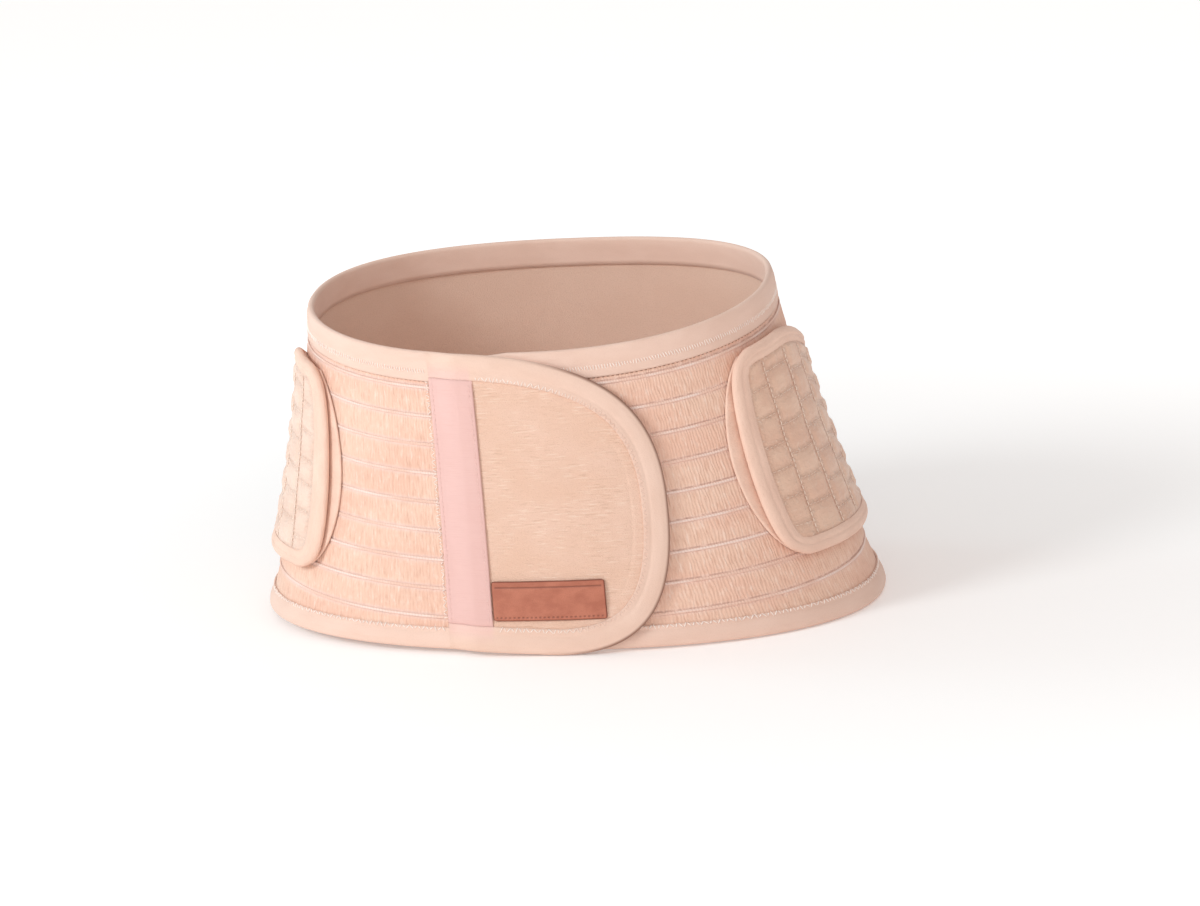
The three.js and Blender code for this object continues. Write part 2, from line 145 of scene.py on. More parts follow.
# Side straps
STRAP_HEIGHT = 119.0
STRAP_BELOW_TOP = 22.5
REAR_TAPER = {"start": 172.0, "width": 90.0}
REAR_DROP = 26.0
END_CORNER = {"bow": 9.0, "power": 8}
END_REACH = 60.0
STRAPS = (
    {"name": "left", "side": -1, "above_bottom": 34.0, "shift": 2.2, "turn": 6.0},
    {"name": "right", "side": 1, "above_bottom": 38.0, "shift": 0.0, "turn": 0.0},
)
PAD = {"apex": 124.3, "bow": 6.0, "depth": 6.4, "edge": 1.7, "inset": 2.4, "slack": 0.35}
PUFF = {"under_rim": 2.28, "seam": 2.0, "crest": 3.4}  # the pad's thickness
UNDERLAY = {"apex": 117.0, "bow": 18.0, "depth": 3.15, "thickness": 1.1, "inset": 3.0, "rear_inset": 4.0}
UNDERLAY_BEVEL = {"height": 0.7, "width": 1.2}
UNDERLAY_COLUMNS = 150
UNDERLAY_ROWS = 70
UNDERLAY_CROWDING = 1.3  # brings its columns closer together towards the front end
RIM = {"end": 12.0, "side": RIM_STRIP["width"], "corner": 8.0, "points": 300, "corner_steps": 9}
FIRST_CELL = 17.7
CELL_LENGTH = 23.6
CELL_COLUMNS = 8
CELL_ROWS = 6.5
CELL_JITTER = 0.9
CELL_SEED = 40
CELL_SHOULDER = {"start": 0.7, "width": 4.6}  # the slope beside a seam of the quilting
CELL_FULLNESS = 0.93
RIM_SHOULDER = {"puff": 2.4, "cloth": 2.0}  # from the rim to a full puff and to the uneven cloth
PUCKER = {"reach": 2.2, "share": 0.6}
FLAT_CRINKLE = 0.3  # share of the crinkle that is left where the pad isn't puffed
STRAP_LENGTH = 2 * RIM["end"] + FIRST_CELL + CELL_COLUMNS * CELL_LENGTH
FIRST_COLUMN = PAD["apex"] + RIM["end"] + FIRST_CELL
UNDERLAY_LENGTH = PAD["apex"] - UNDERLAY["apex"] + STRAP_LENGTH - UNDERLAY["rear_inset"]
PAD_STEP = 0.95

# Unevenness of the cloth: its height, its size along and up the cloth, and the seed of its random grid
RIPPLES = {
    "gathers": (0.16, 4.5, 30.0, 3),
    "panel": (0.14, 26.0, 11.0, 4),
    "cord": (0.12, 12.0, 1.0, 5),
    "top_edge": (0.13, 9.0, 8.0, 61),
    "bottom_edge": (0.13, 9.0, 8.0, 62),
    "flap": (0.14, 24.0, 17.0, 11),
    "fine flap": (0.08, 9.0, 6.0, 12),
    "flap edge": (0.12, 8.0, 8.0, 13),
    "tape": (0.1, 30.0, 6.0, 21),
    "fine tape": (0.05, 6.0, 3.0, 22),
    "label": (0.12, 16.0, 9.0, 31),
    "upright seam": (0.9, 30.0, 13.0, 51),
    "level seam": (1.1, 15.0, 40.0, 55),
    "crinkle": (0.2, 5.0, 4.0, 52),
    "fine crinkle": (0.14, 2.6, 2.4, 53),
    "pucker": (0.3, 2.6, 2.6, 54),
    "fullness": (0.07, 22.0, 14.0, 56),
    "rim": (0.12, 9.0, 6.0, 72),
    "underlay": (0.1, 14.0, 18.0, 71),
}
RIPPLE_GRID = 128

# Rows of stitches; a row with a lean is uneven, as if sewn by hand
STITCH_ROWS = {
    "top": {"spacing": 1.8, "half": 1.8, "radius": 0.3, "lean": 1.35, "seed": 63, "one_way": True},
    "bottom": {"spacing": 2.1, "half": 1.5, "radius": 0.3, "lean": 0.95, "seed": 63},
    "lip": {"spacing": 3.0, "half": 0.95, "radius": 0.24, "beyond": 0.35, "rise": 0.1},
    "tape": {"spacing": 2.7, "half": 0.95, "radius": 0.2, "ends_at": 8.0},
    "gather": {"spacing": 1.9, "half": 1.5, "radius": 0.24, "lean": 0.6, "seed": 65, "beyond": 1.6,
               "ends_at": 1.0},
    "flap": {"spacing": 2.1, "half": 1.8, "radius": 0.27, "lean": 1.0, "seed": 64},
    "upright": {"spacing": 3.1, "half": 1.4, "radius": 0.36, "rise": 0.35},
    "level": {"spacing": 3.1, "half": 1.2, "radius": 0.18, "rise": 0.12},
}
ROW_START = 2.0  # from the start of a row to its first stitch
ROW_END = 1.0  # from its last stitch to its end, at the least
STITCH_MARGIN = 30.0  # from the under-end, and from the ends of the flap's strip, to the first stitch
TAPE_MARGIN = 2.0  # from the last stitch of the belt's edges to the tape, at the least
RIM_CLEAR = 1.5  # from the rim to the first stitch
LIP_CLEAR = 1.0  # from the lips of the bindings to a row that goes up between them
STITCH_TURN = 0.3
STITCH_REACH = (0.55, 1.15)
STITCH_SINK = 0.05
# A stitch is a short thread that bows up from the cloth: rings of corners between two tips
STITCH_RINGS = ((-0.72, 0.75), (0.0, 1.0), (0.72, 0.75))
STITCH_SIDES = 6
STITCH_BOW = 0.35

# Camera, as the photograph was taken, floor and light
AZIMUTH = math.radians(9.0)
ELEVATION = math.radians(13.0)
ROLL = math.radians(3.5)
DISTANCE = 2.3
LENS = 117.36
SENSOR = 36.0
SHIFT_X = 0.0338
FLOOR = {"half_size": 9.0, "drop": 0.0004, "colour": (252, 246, 243), "glow": 0.15, "far_glow": 0.25}
FLOOR_FAR = (0.2, 1.0)
WORLD_STRENGTH = 0.61
WHITE = (1.0, 1.0, 1.0, 1.0)
LIGHTS = (
    {"name": "Key", "at": (-1.7, -1.6, 1.2), "size": 0.9, "power": 30.0, "tint": (0.885, 1.0, 1.05)},
    {"name": "Side", "at": (-2.0, 0.4, 0.7), "size": 0.8, "power": 6.0, "tint": (0.6, 1.0, 1.15)},
    {"name": "Fill", "at": (0.5, -2.4, 0.9), "size": 1.6, "power": 8.6, "tint": (1.0, 0.975, 0.955)},
)


# Steps and curves

def smooth(value):
    """An even step from 0 to 1 with rounded ends."""
    share = np.clip(value, 0.0, 1.0)
    return share * share * (3 - 2 * share)


def ease(value, start, width):
    return smooth((value - start) / width)


def bell(value, width):
    return np.exp(-(value / width) ** 2)


def round_off(edge, bevel):
    """How far a rounded edge falls below the face, at a distance in from the edge."""
    inwards = 1 - np.clip(edge / bevel["width"], 0, 1)
    return bevel["height"] * (1 - np.sqrt(np.clip(1 - inwards ** 2, 0, 1)))


def running_length(strides):
    return np.concatenate([[0.0], np.cumsum(strides)])


def line_length(points):
    """The length along a line of points, up to each of them."""
    return running_length(np.linalg.norm(np.diff(points, axis=0), axis=1))


def ripple(name, x, y):
    """Smooth unevenness of the cloth at x along and y up."""
    height, size_x, size_y, seed = RIPPLES[name]
    grid = np.random.default_rng(seed).uniform(-1, 1, (RIPPLE_GRID, RIPPLE_GRID))
    u, v = np.broadcast_arrays(x / size_x, y / size_y)
    left = np.floor(u).astype(int)
    low = np.floor(v).astype(int)
    share_u = smooth(u - left)
    share_v = smooth(v - low)

    def level(row):
        near = grid[left % RIPPLE_GRID, row % RIPPLE_GRID]
        return near * (1 - share_u) + grid[(left + 1) % RIPPLE_GRID, row % RIPPLE_GRID] * share_u
    return height * (level(low) * (1 - share_v) + level(low + 1) * share_v)


# Waist surface

def section_value(z, column):
    """The parabola through a column of the section table."""
    total = 0.0
    for row in WAIST_SECTIONS:
        term = row[column]
        for other in WAIST_SECTIONS:
            if other is not row:
                term = term * (z - other["z"]) / (row["z"] - other["z"])
        total = total + term
    return total


def squared(value):
    return np.sign(value) * np.abs(value) ** (2 / SECTION_POWER)


def waist_point(angle, z):
    x = section_value(z, "lean") + section_value(z, "half_width") * squared(np.sin(angle))
    y = -section_value(z, "half_depth") * squared(np.cos(angle))
    return np.stack(np.broadcast_arrays(x, y, z), axis=-1)


ARC_ANGLES = np.linspace(0, math.pi, ARC_STEPS + 1)
ARC_LENGTHS = line_length(waist_point(ARC_ANGLES, 0.0))
HALF_GIRTH = ARC_LENGTHS[-1]
GIRTH = 2 * HALF_GIRTH


def angle_at(along):
    turned = np.mod(along + HALF_GIRTH, GIRTH) - HALF_GIRTH
    return np.sign(turned) * np.interp(np.abs(turned), ARC_LENGTHS, ARC_ANGLES)


def girth_scale(z):
    """The waist narrows upwards, so a length along the belt spans more of the waist higher up."""
    girth = section_value(z, "half_width") + section_value(z, "half_depth")
    return girth / (section_value(0.0, "half_width") + section_value(0.0, "half_depth"))


def place(along, z, depth):
    along, z, depth = np.broadcast_arrays(along, z, depth)
    angle = angle_at(along)
    sideways = waist_point(angle + NUDGE, z) - waist_point(angle - NUDGE, z)
    upwards = waist_point(angle, z + 1.0) - waist_point(angle, z - 1.0)
    outwards = np.cross(sideways, upwards)
    outwards = outwards / np.linalg.norm(outwards, axis=-1, keepdims=True)
    return waist_point(angle, z) + depth[..., None] * outwards


def edge_height(edge, angle):
    level = (edge["front"] + 2 * edge["side"] + edge["back"]) / 4
    slope = (edge["front"] - edge["back"]) / 2
    waist = (edge["front"] - 2 * edge["side"] + edge["back"]) / 4
    return level + slope * np.cos(angle) + waist * np.cos(2 * angle) + edge["tilt"] * np.sin(angle)


# Belt lines: turn runs from 0 at the hidden under-end, once round the waist, to 1 at the tape

BELT_LENGTH = GIRTH + TAPE["left"] - UNDER_END


def belt_front(turn):
    return UNDER_END + (TAPE["left"] - UNDER_END) * turn


def belt_along(front, turn, z):
    return front / girth_scale(z) + turn * GIRTH


def belt_edges(front, turn):
    """The top edge, the bottom edge and the last rib's height above it."""
    high = angle_at(belt_along(front, turn, TOP_EDGE["side"]))
    low = angle_at(belt_along(front, turn, BOTTOM_EDGE["side"]))
    dip = UNDER_END_DIP["depth"] * np.maximum(0, 1 - turn * GIRTH / UNDER_END_DIP["length"])
    return edge_height(TOP_EDGE, high) - dip, edge_height(BOTTOM_EDGE, low), edge_height(LAST_RIB, low)


def rib_levels(top, bottom, last):
    """The height of the first rib and the pitch of those below it."""
    first = top - FIRST_RIB
    return first, (first - bottom - last) / BANDS


def on_edge(top_edge):
    """The surface along a belt edge: x is the length round the belt and y the distance in from the edge."""
    def surface(x, y, depth):
        turn = np.clip((x - UNDER_END) / BELT_LENGTH, 0, 1)
        front = belt_front(turn)
        top, bottom, _ = belt_edges(front, turn)
        z = top - y if top_edge else bottom + y
        return place(belt_along(front, turn, z), z, depth)
    return surface


# Mesh making

def grid_faces(rows, columns, wrap_rows=False, wrap_columns=False):
    last_row = rows if wrap_rows else rows - 1
    last_column = columns if wrap_columns else columns - 1
    row, column = np.meshgrid(np.arange(last_row), np.arange(last_column), indexing="ij")
    next_row = (row + 1) % rows
    next_column = (column + 1) % columns
    corners = (row * columns + column, next_row * columns + column,
               next_row * columns + next_column, row * columns + next_column)
    return np.stack(corners, axis=-1).reshape(-1, 4)


def closed_sheet(outer, inner, loop):
    """Points and faces of a sheet from its two faces, grids of one size, and how many faces close its rim.

    In a loop, the grid's last row meets its first."""
    rows, columns = outer.shape[:2]
    count = rows * columns
    points = np.concatenate([outer.reshape(-1, 3), inner.reshape(-1, 3)])
    face = grid_faces(rows, columns, wrap_rows=loop)
    index = np.arange(count).reshape(rows, columns)
    if loop:
        start = np.concatenate([index[::-1, 0], index[:, -1]])
        after = np.concatenate([np.roll(index[::-1, 0], -1), np.roll(index[:, -1], -1)])
    else:
        start = np.concatenate([index[0, :-1], index[:-1, -1], index[-1, :0:-1], index[:0:-1, 0]])
        after = np.roll(start, -1)
    rim = np.stack([start, after, after + count, start + count], axis=-1)
    return points, np.concatenate([face, face[:, ::-1] + count, rim]), len(rim)


def outward(points, faces):
    """The faces turned so that the closed mesh has a positive volume."""
    a, b, c, d = (points[faces[:, side]] for side in range(4))
    volume = np.einsum("ij,ij->", a, np.cross(b, c)) + np.einsum("ij,ij->", a, np.cross(c, d))
    return faces if volume > 0 else faces[:, ::-1]


def link(name, data):
    """A new object in the scene."""
    thing = bpy.data.objects.new(name, data)
    bpy.context.scene.collection.objects.link(thing)
    return thing


def add_piece(name, points, faces, materials):
    """An object in metres with smooth faces."""
    mesh = bpy.data.meshes.new(name)
    mesh.from_pydata((points * MM).tolist(), [], faces)
    for material in materials:
        mesh.materials.append(material)
    mesh.polygons.foreach_set("use_smooth", np.ones(len(mesh.polygons), dtype=bool))
    return link(name, mesh)


def add_map(mesh, name, values):
    """A UV map with two numbers for each point."""
    corner_points = np.empty(len(mesh.loops), dtype=np.int32)
    mesh.loops.foreach_get("vertex_index", corner_points)
    layer = mesh.uv_layers.new(name=name)
    layer.data.foreach_set("uv", values[corner_points].astype(np.float32).ravel())


def make_sheet(name, outer, inner, materials, maps, loop=False):
    """A closed sheet between two grids of points, smooth on both faces and flat round its rim.

    Each UV map has two numbers for each grid point. A second material goes on the inner face."""
    points, faces, rim_count = closed_sheet(outer, inner, loop)
    piece = add_piece(name, points, outward(points, faces).tolist(), materials)
    for map_name, pair in maps.items():
        values = np.stack([np.broadcast_to(value, outer.shape[:2]) for value in pair], axis=-1)
        add_map(piece.data, map_name, np.tile(values.reshape(-1, 2), (2, 1)))
    number = np.arange(len(faces))
    on_rim = number >= len(faces) - rim_count
    piece.data.polygons.foreach_set("use_smooth", ~on_rim)
    if len(materials) > 1:
        on_inside = (number >= (len(faces) - rim_count) // 2) & ~on_rim
        piece.data.polygons.foreach_set("material_index", on_inside.astype(np.int32))
    piece.data.update()
    return piece


def lay(name, surface, x, y, inside, depth, material, **more_maps):
    """A sheet drawn flat at x along and y up, between two depths of a surface."""
    maps = {"Flat": (x, y), **more_maps}
    return make_sheet(name, surface(x, y, depth), surface(x, y, inside), [material], maps)


def belong(piece, slot, *nodes):
    """The piece rides on the belt and stands for its solids, which are hidden; the slot is not used."""
    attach(piece, "root")
    if nodes:
        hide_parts(*nodes)
    return piece


# Stitches

def uneven(row, count):
    """Angles and half lengths of a hand-like row of stitches, leaning one way or both ways by turns."""
    random = np.random.default_rng(row["seed"])
    other_lean = row["lean"] if "one_way" in row else math.pi - row["lean"]
    angle = np.where(np.arange(count) % 2 == 0, row["lean"], other_lean)
    angle = angle + random.uniform(-STITCH_TURN, STITCH_TURN, count)
    return angle, row["half"] * random.uniform(*STITCH_REACH, count)


def stitch_form():
    """Points of a stitch, in half lengths along and in radii across and out, and its faces."""
    form = [(-1.0, 0.0, 0.0)]
    for share, size in STITCH_RINGS:
        for side in range(STITCH_SIDES):
            turn = 2 * math.pi * side / STITCH_SIDES
            form.append((share, size * math.cos(turn), size * math.sin(turn)))
    last = len(form)
    form.append((1.0, 0.0, 0.0))
    faces = []
    for side in range(STITCH_SIDES):
        after = (side + 1) % STITCH_SIDES
        faces.append((0, 1 + side, 1 + after, 0))
        for start in range(1, last - STITCH_SIDES, STITCH_SIDES):
            further = start + STITCH_SIDES
            faces.append((start + side, further + side, further + after, start + after))
        start = last - STITCH_SIDES
        faces.append((start + side, last, start + after, start + side))
    return np.array(form).T, np.array(faces)


def stitches(kind, surface, x, y, depth, angle=0.0):
    """Points and faces of a row of stitches, centred at x and y on a surface that takes x, y and depth."""
    row = STITCH_ROWS[kind]
    half_length = row["half"]
    if "lean" in row:
        angle, half_length = uneven(row, np.broadcast(x, y).size)
    inputs = np.broadcast_arrays(x, y, angle, half_length, depth)
    x, y, angle, half_length, depth = (np.ravel(value)[:, None] for value in inputs)
    (shares, across, out), faces = stitch_form()
    run = half_length * shares
    wide = row["radius"] * across
    bow = STITCH_BOW * row["radius"] * (1 - 2 * shares ** 2)
    stitch_x = x + run * np.cos(angle) - wide * np.sin(angle)
    stitch_y = y + run * np.sin(angle) + wide * np.cos(angle)
    points = surface(stitch_x, stitch_y, depth + row["radius"] * out + bow)
    offsets = len(shares) * np.arange(len(x))
    return points.reshape(-1, 3), (faces + offsets[:, None, None]).reshape(-1, 4)


def row_places(kind, start, end):
    """Places of stitches along a row."""
    return np.arange(start + ROW_START, end - ROW_END, STITCH_ROWS[kind]["spacing"])


def sew(name, slot, material, *groups):
    """One piece of thread from groups of stitches."""
    faces = []
    count = 0
    for points, group_faces in groups:
        faces.append(group_faces + count)
        count += len(points)
    trimmed = [tuple(dict.fromkeys(face)) for face in np.concatenate(faces).tolist()]
    points = np.concatenate([group[0] for group in groups])
    return belong(add_piece(name, points, trimmed, [material]), slot)


# Materials

def colour(red, green, blue):
    """A screen colour, each part from 0 to 255, as the linear colour that the nodes take."""
    linear = []
    for part in (red, green, blue):
        share = part / 255
        linear.append(share / 12.92 if share <= 0.04045 else ((share + 0.055) / 1.055) ** 2.4)
    return (*linear, 1.0)


class Shader:
    """A material whose nodes are added by short calls; its tone starts from a base and takes on tints."""

    def __init__(self, name, mapped=True):
        self.material = bpy.data.materials.new(name)
        self.material.use_nodes = True
        self.tree = self.material.node_tree
        self.tree.nodes.clear()
        self.surface = self.node("BsdfPrincipled")
        self.node("OutputMaterial", {"Surface": self.surface.outputs["BSDF"]})
        self.tone = None
        if mapped:
            self.along, self.up = self.flat("Flat")

    def join(self, socket, value):
        if isinstance(value, bpy.types.NodeSocket):
            self.tree.links.new(value, socket)
        else:
            socket.default_value = value

    def node(self, kind, inputs=None, **settings):
        node = self.tree.nodes.new("ShaderNode" + kind)
        for name, value in settings.items():
            setattr(node, name, value)
        for key, value in (inputs or {}).items():
            self.join(node.inputs[key], value)
        return node

    def math(self, operation, first, second=0.0):
        return self.node("Math", {0: first, 1: second}, operation=operation).outputs[0]

    def times(self, first, second):
        return self.math("MULTIPLY", first, second)

    def plus(self, first, second):
        return self.math("ADD", first, second)

    def flat(self, name):
        """The two numbers of a UV map."""
        uv = self.node("UVMap", uv_map=name).outputs["UV"]
        parts = self.node("SeparateXYZ", {"Vector": uv})
        return parts.outputs["X"], parts.outputs["Y"]

    def noise(self, size_x, size_y, detail=2.0, roughness=0.5, along=None):
        """Noise from 0 to 1 with a grain of size_x along and size_y up."""
        x = self.math("DIVIDE", self.along if along is None else along, size_x)
        y = self.math("DIVIDE", self.up, size_y)
        vector = self.node("CombineXYZ", {"X": x, "Y": y}).outputs["Vector"]
        inputs = {"Vector": vector, "Scale": 1.0, "Detail": detail, "Roughness": roughness}
        return self.node("TexNoise", inputs).outputs["Fac"]

    def wave(self, x, pitch):
        """A sine from 0 to 1 that repeats every pitch."""
        sine = self.math("SINE", self.times(x, 2 * math.pi / pitch))
        return self.plus(self.times(sine, 0.5), 0.5)

    def step(self, value, low, high):
        """0 up to low, 1 from high on, and rounded between; low may be the larger."""
        inputs = {"Value": value, "From Min": low, "From Max": high}
        return self.node("MapRange", inputs, interpolation_type="SMOOTHSTEP").outputs["Result"]

    def mix(self, share, first, second):
        return self.node("Mix", {0: share, 6: first, 7: second}, data_type="RGBA").outputs[2]

    def base(self, share, first, second):
        self.tone = self.mix(share, colour(*first), colour(*second))

    def tint(self, share, strength, tint):
        self.tone = self.mix(self.times(share, strength), self.tone, colour(*tint))

    def bump(self, height, distance):
        """Raises the shading by distance millimetres where height is 1."""
        bump = self.node("Bump", {"Strength": 1.0, "Distance": distance * MM, "Height": height})
        self.join(self.surface.inputs["Normal"], bump.outputs["Normal"])

    def finish(self, roughness, sheen=0.0, specular=0.5):
        looks = {"Base Color": self.tone, "Roughness": roughness, "Specular IOR Level": specular,
                 "Sheen Weight": sheen, "Sheen Roughness": 0.4}
        for name, value in looks.items():
            self.join(self.surface.inputs[name], value)
        return self.material


def elastic_material():
    """Knitted bands, each shifted along from the one above, with a pale rib and a painted shade line beside
    it; painted light pales them on the lit left.
    """
    look = Shader("Ribbed elastic")
    band = look.flat("Bands")[1]
    share = look.math("SUBTRACT", look.math("FRACT", look.plus(band, 0.5)), 0.5)
    below_rib = look.times(share, BAND_HEIGHT)
    off_line = look.math("ABSOLUTE", look.plus(below_rib, 1.25))
    shifted = look.plus(look.along, look.times(look.math("FLOOR", band), 38.7))
    wobble = look.times(look.noise(5.0, 9.0, along=shifted), 3.2)
    ribs = look.wave(look.plus(shifted, wobble), 1.9)
    streaks = look.noise(1.7, 7.5, detail=3.0, roughness=0.6, along=shifted)
    mottle = look.noise(4.2, 4.6, detail=3.0, roughness=0.6, along=shifted)
    weft = look.noise(2.2, 0.8)
    near_rib = look.step(look.math("ABSOLUTE", below_rib), 3.2, 0.6)
    # mask of a painted shade line just beside each rib, broken up by the mottle
    groove = look.times(look.step(off_line, 0.6, 0.2), look.step(mottle, 0.62, 0.42))
    # painted light: grows towards the left end, where the belt is brightly lit
    painted_light_left = look.step(look.along, *LIT_LEFT_SIDE)
    look.base(look.step(look.noise(60.0, 30.0), 0.36, 0.64), (232, 186, 164), (234, 194, 172))
    look.tint(look.step(streaks, 0.5, 0.3), 0.45, (208, 158, 134))
    look.tint(look.step(streaks, 0.54, 0.72), 0.5, (246, 222, 208))
    look.tint(look.step(mottle, 0.52, 0.72), 0.35, (244, 214, 198))
    look.tint(look.step(ribs, 0.3, 0.0), 0.14, (206, 154, 130))
    # pale tint beside the ribs, made stronger towards the left as painted light
    look.tint(near_rib, look.plus(look.times(painted_light_left, 0.3), 0.3), (234, 204, 196))
    # painted shade in the groove beside each cord, fading out as painted light on the left
    look.tint(groove, look.math("SUBTRACT", 0.55, look.times(painted_light_left, 0.45)), (184, 138, 122))
    height = look.plus(look.times(ribs, 0.35), look.times(streaks, 0.7))
    look.bump(look.plus(height, look.times(weft, 0.25)), 0.5)
    return look.finish(0.85, sheen=0.1, specular=0.25)


def lining_material():
    look = Shader("Plain knitted lining")
    grain = look.noise(0.8, 0.8, detail=3.0)
    look.base(look.noise(30.0, 30.0), (224, 188, 168), (230, 197, 178))
    look.tint(look.step(grain, 0.55, 0.3), 0.3, (204, 164, 142))
    look.bump(grain, 0.3)
    return look.finish(0.9, sheen=0.2, specular=0.2)


def cord_material():
    """Twisted cord, uneven with wear, with a painted highlight along its middle that shows in patches."""
    look = Shader("Pale rib cord")
    level = look.math("DIVIDE", look.up, CORD["map_pitch"])
    off_middle = look.math("ABSOLUTE", look.math("SUBTRACT", level, look.math("ROUND", level)))
    middle_highlight = look.step(look.times(off_middle, CORD["map_pitch"]), 0.7, 0.3)
    wear_and_highlight = look.noise(30.0, 9.0)
    twist = look.wave(look.along, 1.7)
    look.base(look.step(wear_and_highlight, 0.3, 0.7), (231, 190, 171), (233, 198, 182))
    # painted highlight along the middle of the cord, where the wear noise is high
    look.tint(look.times(middle_highlight, look.step(wear_and_highlight, 0.42, 0.6)), 0.7, (239, 215, 205))
    look.tint(look.step(twist, 0.4, 0.0), 0.25, (212, 172, 154))
    look.bump(twist, 0.15)
    return look.finish(0.65, sheen=0.15, specular=0.3)


def binding_material(name, dark, light, crinkle=0.0, flap_length=None):
    """Smooth binding cloth. Round the flap it is pink by the tape and has painted shade on its fold."""
    look = Shader(name)
    grain = look.noise(0.55, 0.9)
    wrinkles = look.noise(5.0, 2.4, detail=3.0)
    knit = look.wave(look.plus(look.along, look.times(look.up, 0.6)), 0.8)
    look.base(look.step(look.noise(30.0, 12.0), 0.25, 0.75), dark, light)
    if flap_length:
        to_end = look.math("SUBTRACT", flap_length, look.along)
        to_end = look.math("MINIMUM", look.along, to_end)
        by_tape = look.step(look.up, *FLAP_PINK["front"])
        for side in ("ends", "tape"):
            by_tape = look.times(by_tape, look.step(to_end, *FLAP_PINK[side]))
        look.tint(by_tape, 0.75, (231, 189, 179))
        # painted shade: the fold of the flap's binding is darkened brown as the shadow under the flap's
        # edge
        fold_shade = look.step(look.up, *FLAP_FOLD_SHADE["front"])
        for value, side in ((look.up, "behind"), (to_end, "ends")):
            fold_shade = look.times(fold_shade, look.step(value, *FLAP_FOLD_SHADE[side]))
        look.tint(fold_shade, 0.8, (128, 84, 66))
    look.tint(look.step(grain, 0.5, 0.3), 0.15, (204, 162, 142))
    height = look.plus(look.times(knit, 0.3), grain)
    look.bump(look.plus(height, look.times(wrinkles, crinkle)), 0.14)
    return look.finish(0.78, sheen=0.12, specular=0.25)


def fleece_material():
    """Loop cloth with a fine grain and, in places, lines along it."""
    look = Shader("Fleecy loop cloth")
    grain = look.noise(0.8, 0.65, detail=4.0, roughness=0.7)
    lines = look.noise(9.0, 0.9)
    lined = look.times(look.step(look.noise(26.0, 22.0), 0.35, 0.6), 0.5)
    look.base(look.step(look.noise(40.0, 26.0), 0.3, 0.7), (232, 191, 168), (235, 196, 175))
    look.tint(look.step(grain, 0.48, 0.3), 0.4, (204, 160, 132))
    look.tint(look.step(lines, 0.54, 0.68), lined, (246, 220, 202))
    look.tint(look.step(lines, 0.44, 0.3), lined, (206, 164, 138))
    look.bump(look.plus(grain, look.times(lines, 0.6)), 0.5)
    return look.finish(0.92, sheen=0.12, specular=0.15)


def satin_material():
    look = Shader("Pink satin tape")
    weft = look.noise(12.0, 0.35, detail=1.0)
    look.base(look.noise(20.0, 30.0), (222, 177, 168), (227, 185, 177))
    look.tint(look.step(weft, 0.5, 0.3), 0.25, (214, 163, 153))
    look.bump(weft, 0.1)
    return look.finish(0.6, sheen=0.05, specular=0.25)


def leather_material():
    """Leather that darkens at its edge and in its pressed lines."""
    look = Shader("Terracotta leather")
    edge, line = look.flat("Edge")
    grain = look.noise(0.5, 0.5, detail=4.0, roughness=0.6)
    patches = look.noise(9.0, 6.0, detail=3.0)
    look.base(look.step(patches, 0.3, 0.7), (173, 99, 75), (188, 113, 88))
    look.tint(look.step(grain, 0.5, 0.3), 0.35, (136, 74, 54))
    look.tint(look.step(edge, 0.9, 0.2), 0.75, (110, 54, 38))
    look.tint(line, 0.7, (96, 44, 30))
    look.bump(grain, 0.16)
    return look.finish(0.5, specular=0.45)


def quilt_material(name, dark, light, seam_shade):
    """Crinkled cloth that puckers beside its seams, with painted shade in the seams and painted glints
    beside them.
    """
    look = Shader(name)
    seam = look.flat("Seam")[0]
    crinkle = look.noise(3.2, 2.2, detail=3.0, roughness=0.6)
    grain = look.noise(0.5, 0.5)
    beside_seam = look.step(seam, 3.4, 0.8)
    look.base(look.step(look.noise(24.0, 18.0), 0.35, 0.65), dark, light)
    # painted shade in the seams between the puffs
    look.tint(look.step(seam, 2.0, 0.2), seam_shade, (180, 132, 110))
    # painted glints: highlights on the crinkles, strongest beside the seams
    glint = look.times(look.step(crinkle, 0.55, 0.75), look.plus(beside_seam, 0.45))
    look.tint(glint, 0.6, (242, 216, 198))
    puckers = look.times(crinkle, look.plus(look.times(beside_seam, 1.3), 0.8))
    look.bump(look.plus(puckers, look.times(grain, 0.15)), 0.9)
    return look.finish(0.46, sheen=0.15, specular=0.4)


def thread_material(name, dark, light, roughness=0.55, fade=None):
    """Thread; fade gives the two places to the right between which it goes over to a tint, and the tint."""
    look = Shader(name, mapped=False)
    place_at = look.node("TexCoord").outputs["Object"]
    speckle = look.node("TexNoise", {"Vector": place_at, "Scale": 420.0})
    look.base(speckle.outputs["Fac"], dark, light)
    if fade:
        start, end, tint = fade
        right = look.node("SeparateXYZ", {"Vector": place_at}).outputs["X"]
        look.tint(look.step(right, start, end), 0.8, tint)
    return look.finish(roughness, sheen=0.2, specular=0.4)


ELASTIC = elastic_material()
LINING = lining_material()
CORD_CLOTH = cord_material()
BINDING = binding_material("Binding cloth", (228, 192, 174), (234, 200, 183))
RIM_CLOTH = binding_material("Strap rim cloth", (232, 193, 173), (240, 203, 183), crinkle=5.0)
FLEECE = fleece_material()
SATIN = satin_material()
LEATHER = leather_material()
# The left strap's copy of the quilted cloth is painted paler, with less painted seam shade, as painted
# light for its brightly lit side
QUILTS = {
    "left": quilt_material("Quilted cloth painted paler as lit", (230, 193, 173), (236, 202, 183), 0.12),
    "right": quilt_material("Quilted cloth", (224, 181, 157), (230, 191, 167), 0.24),
}
THREAD = thread_material("Pale thread", (238, 216, 204), (252, 240, 232))
FLAP_THREAD = thread_material("Flap thread", (238, 216, 204), (252, 240, 232),
                              fade=(0.008, 0.045, (224, 186, 166)))
PINK_THREAD = thread_material("Pink thread", (226, 186, 177), (236, 200, 191))
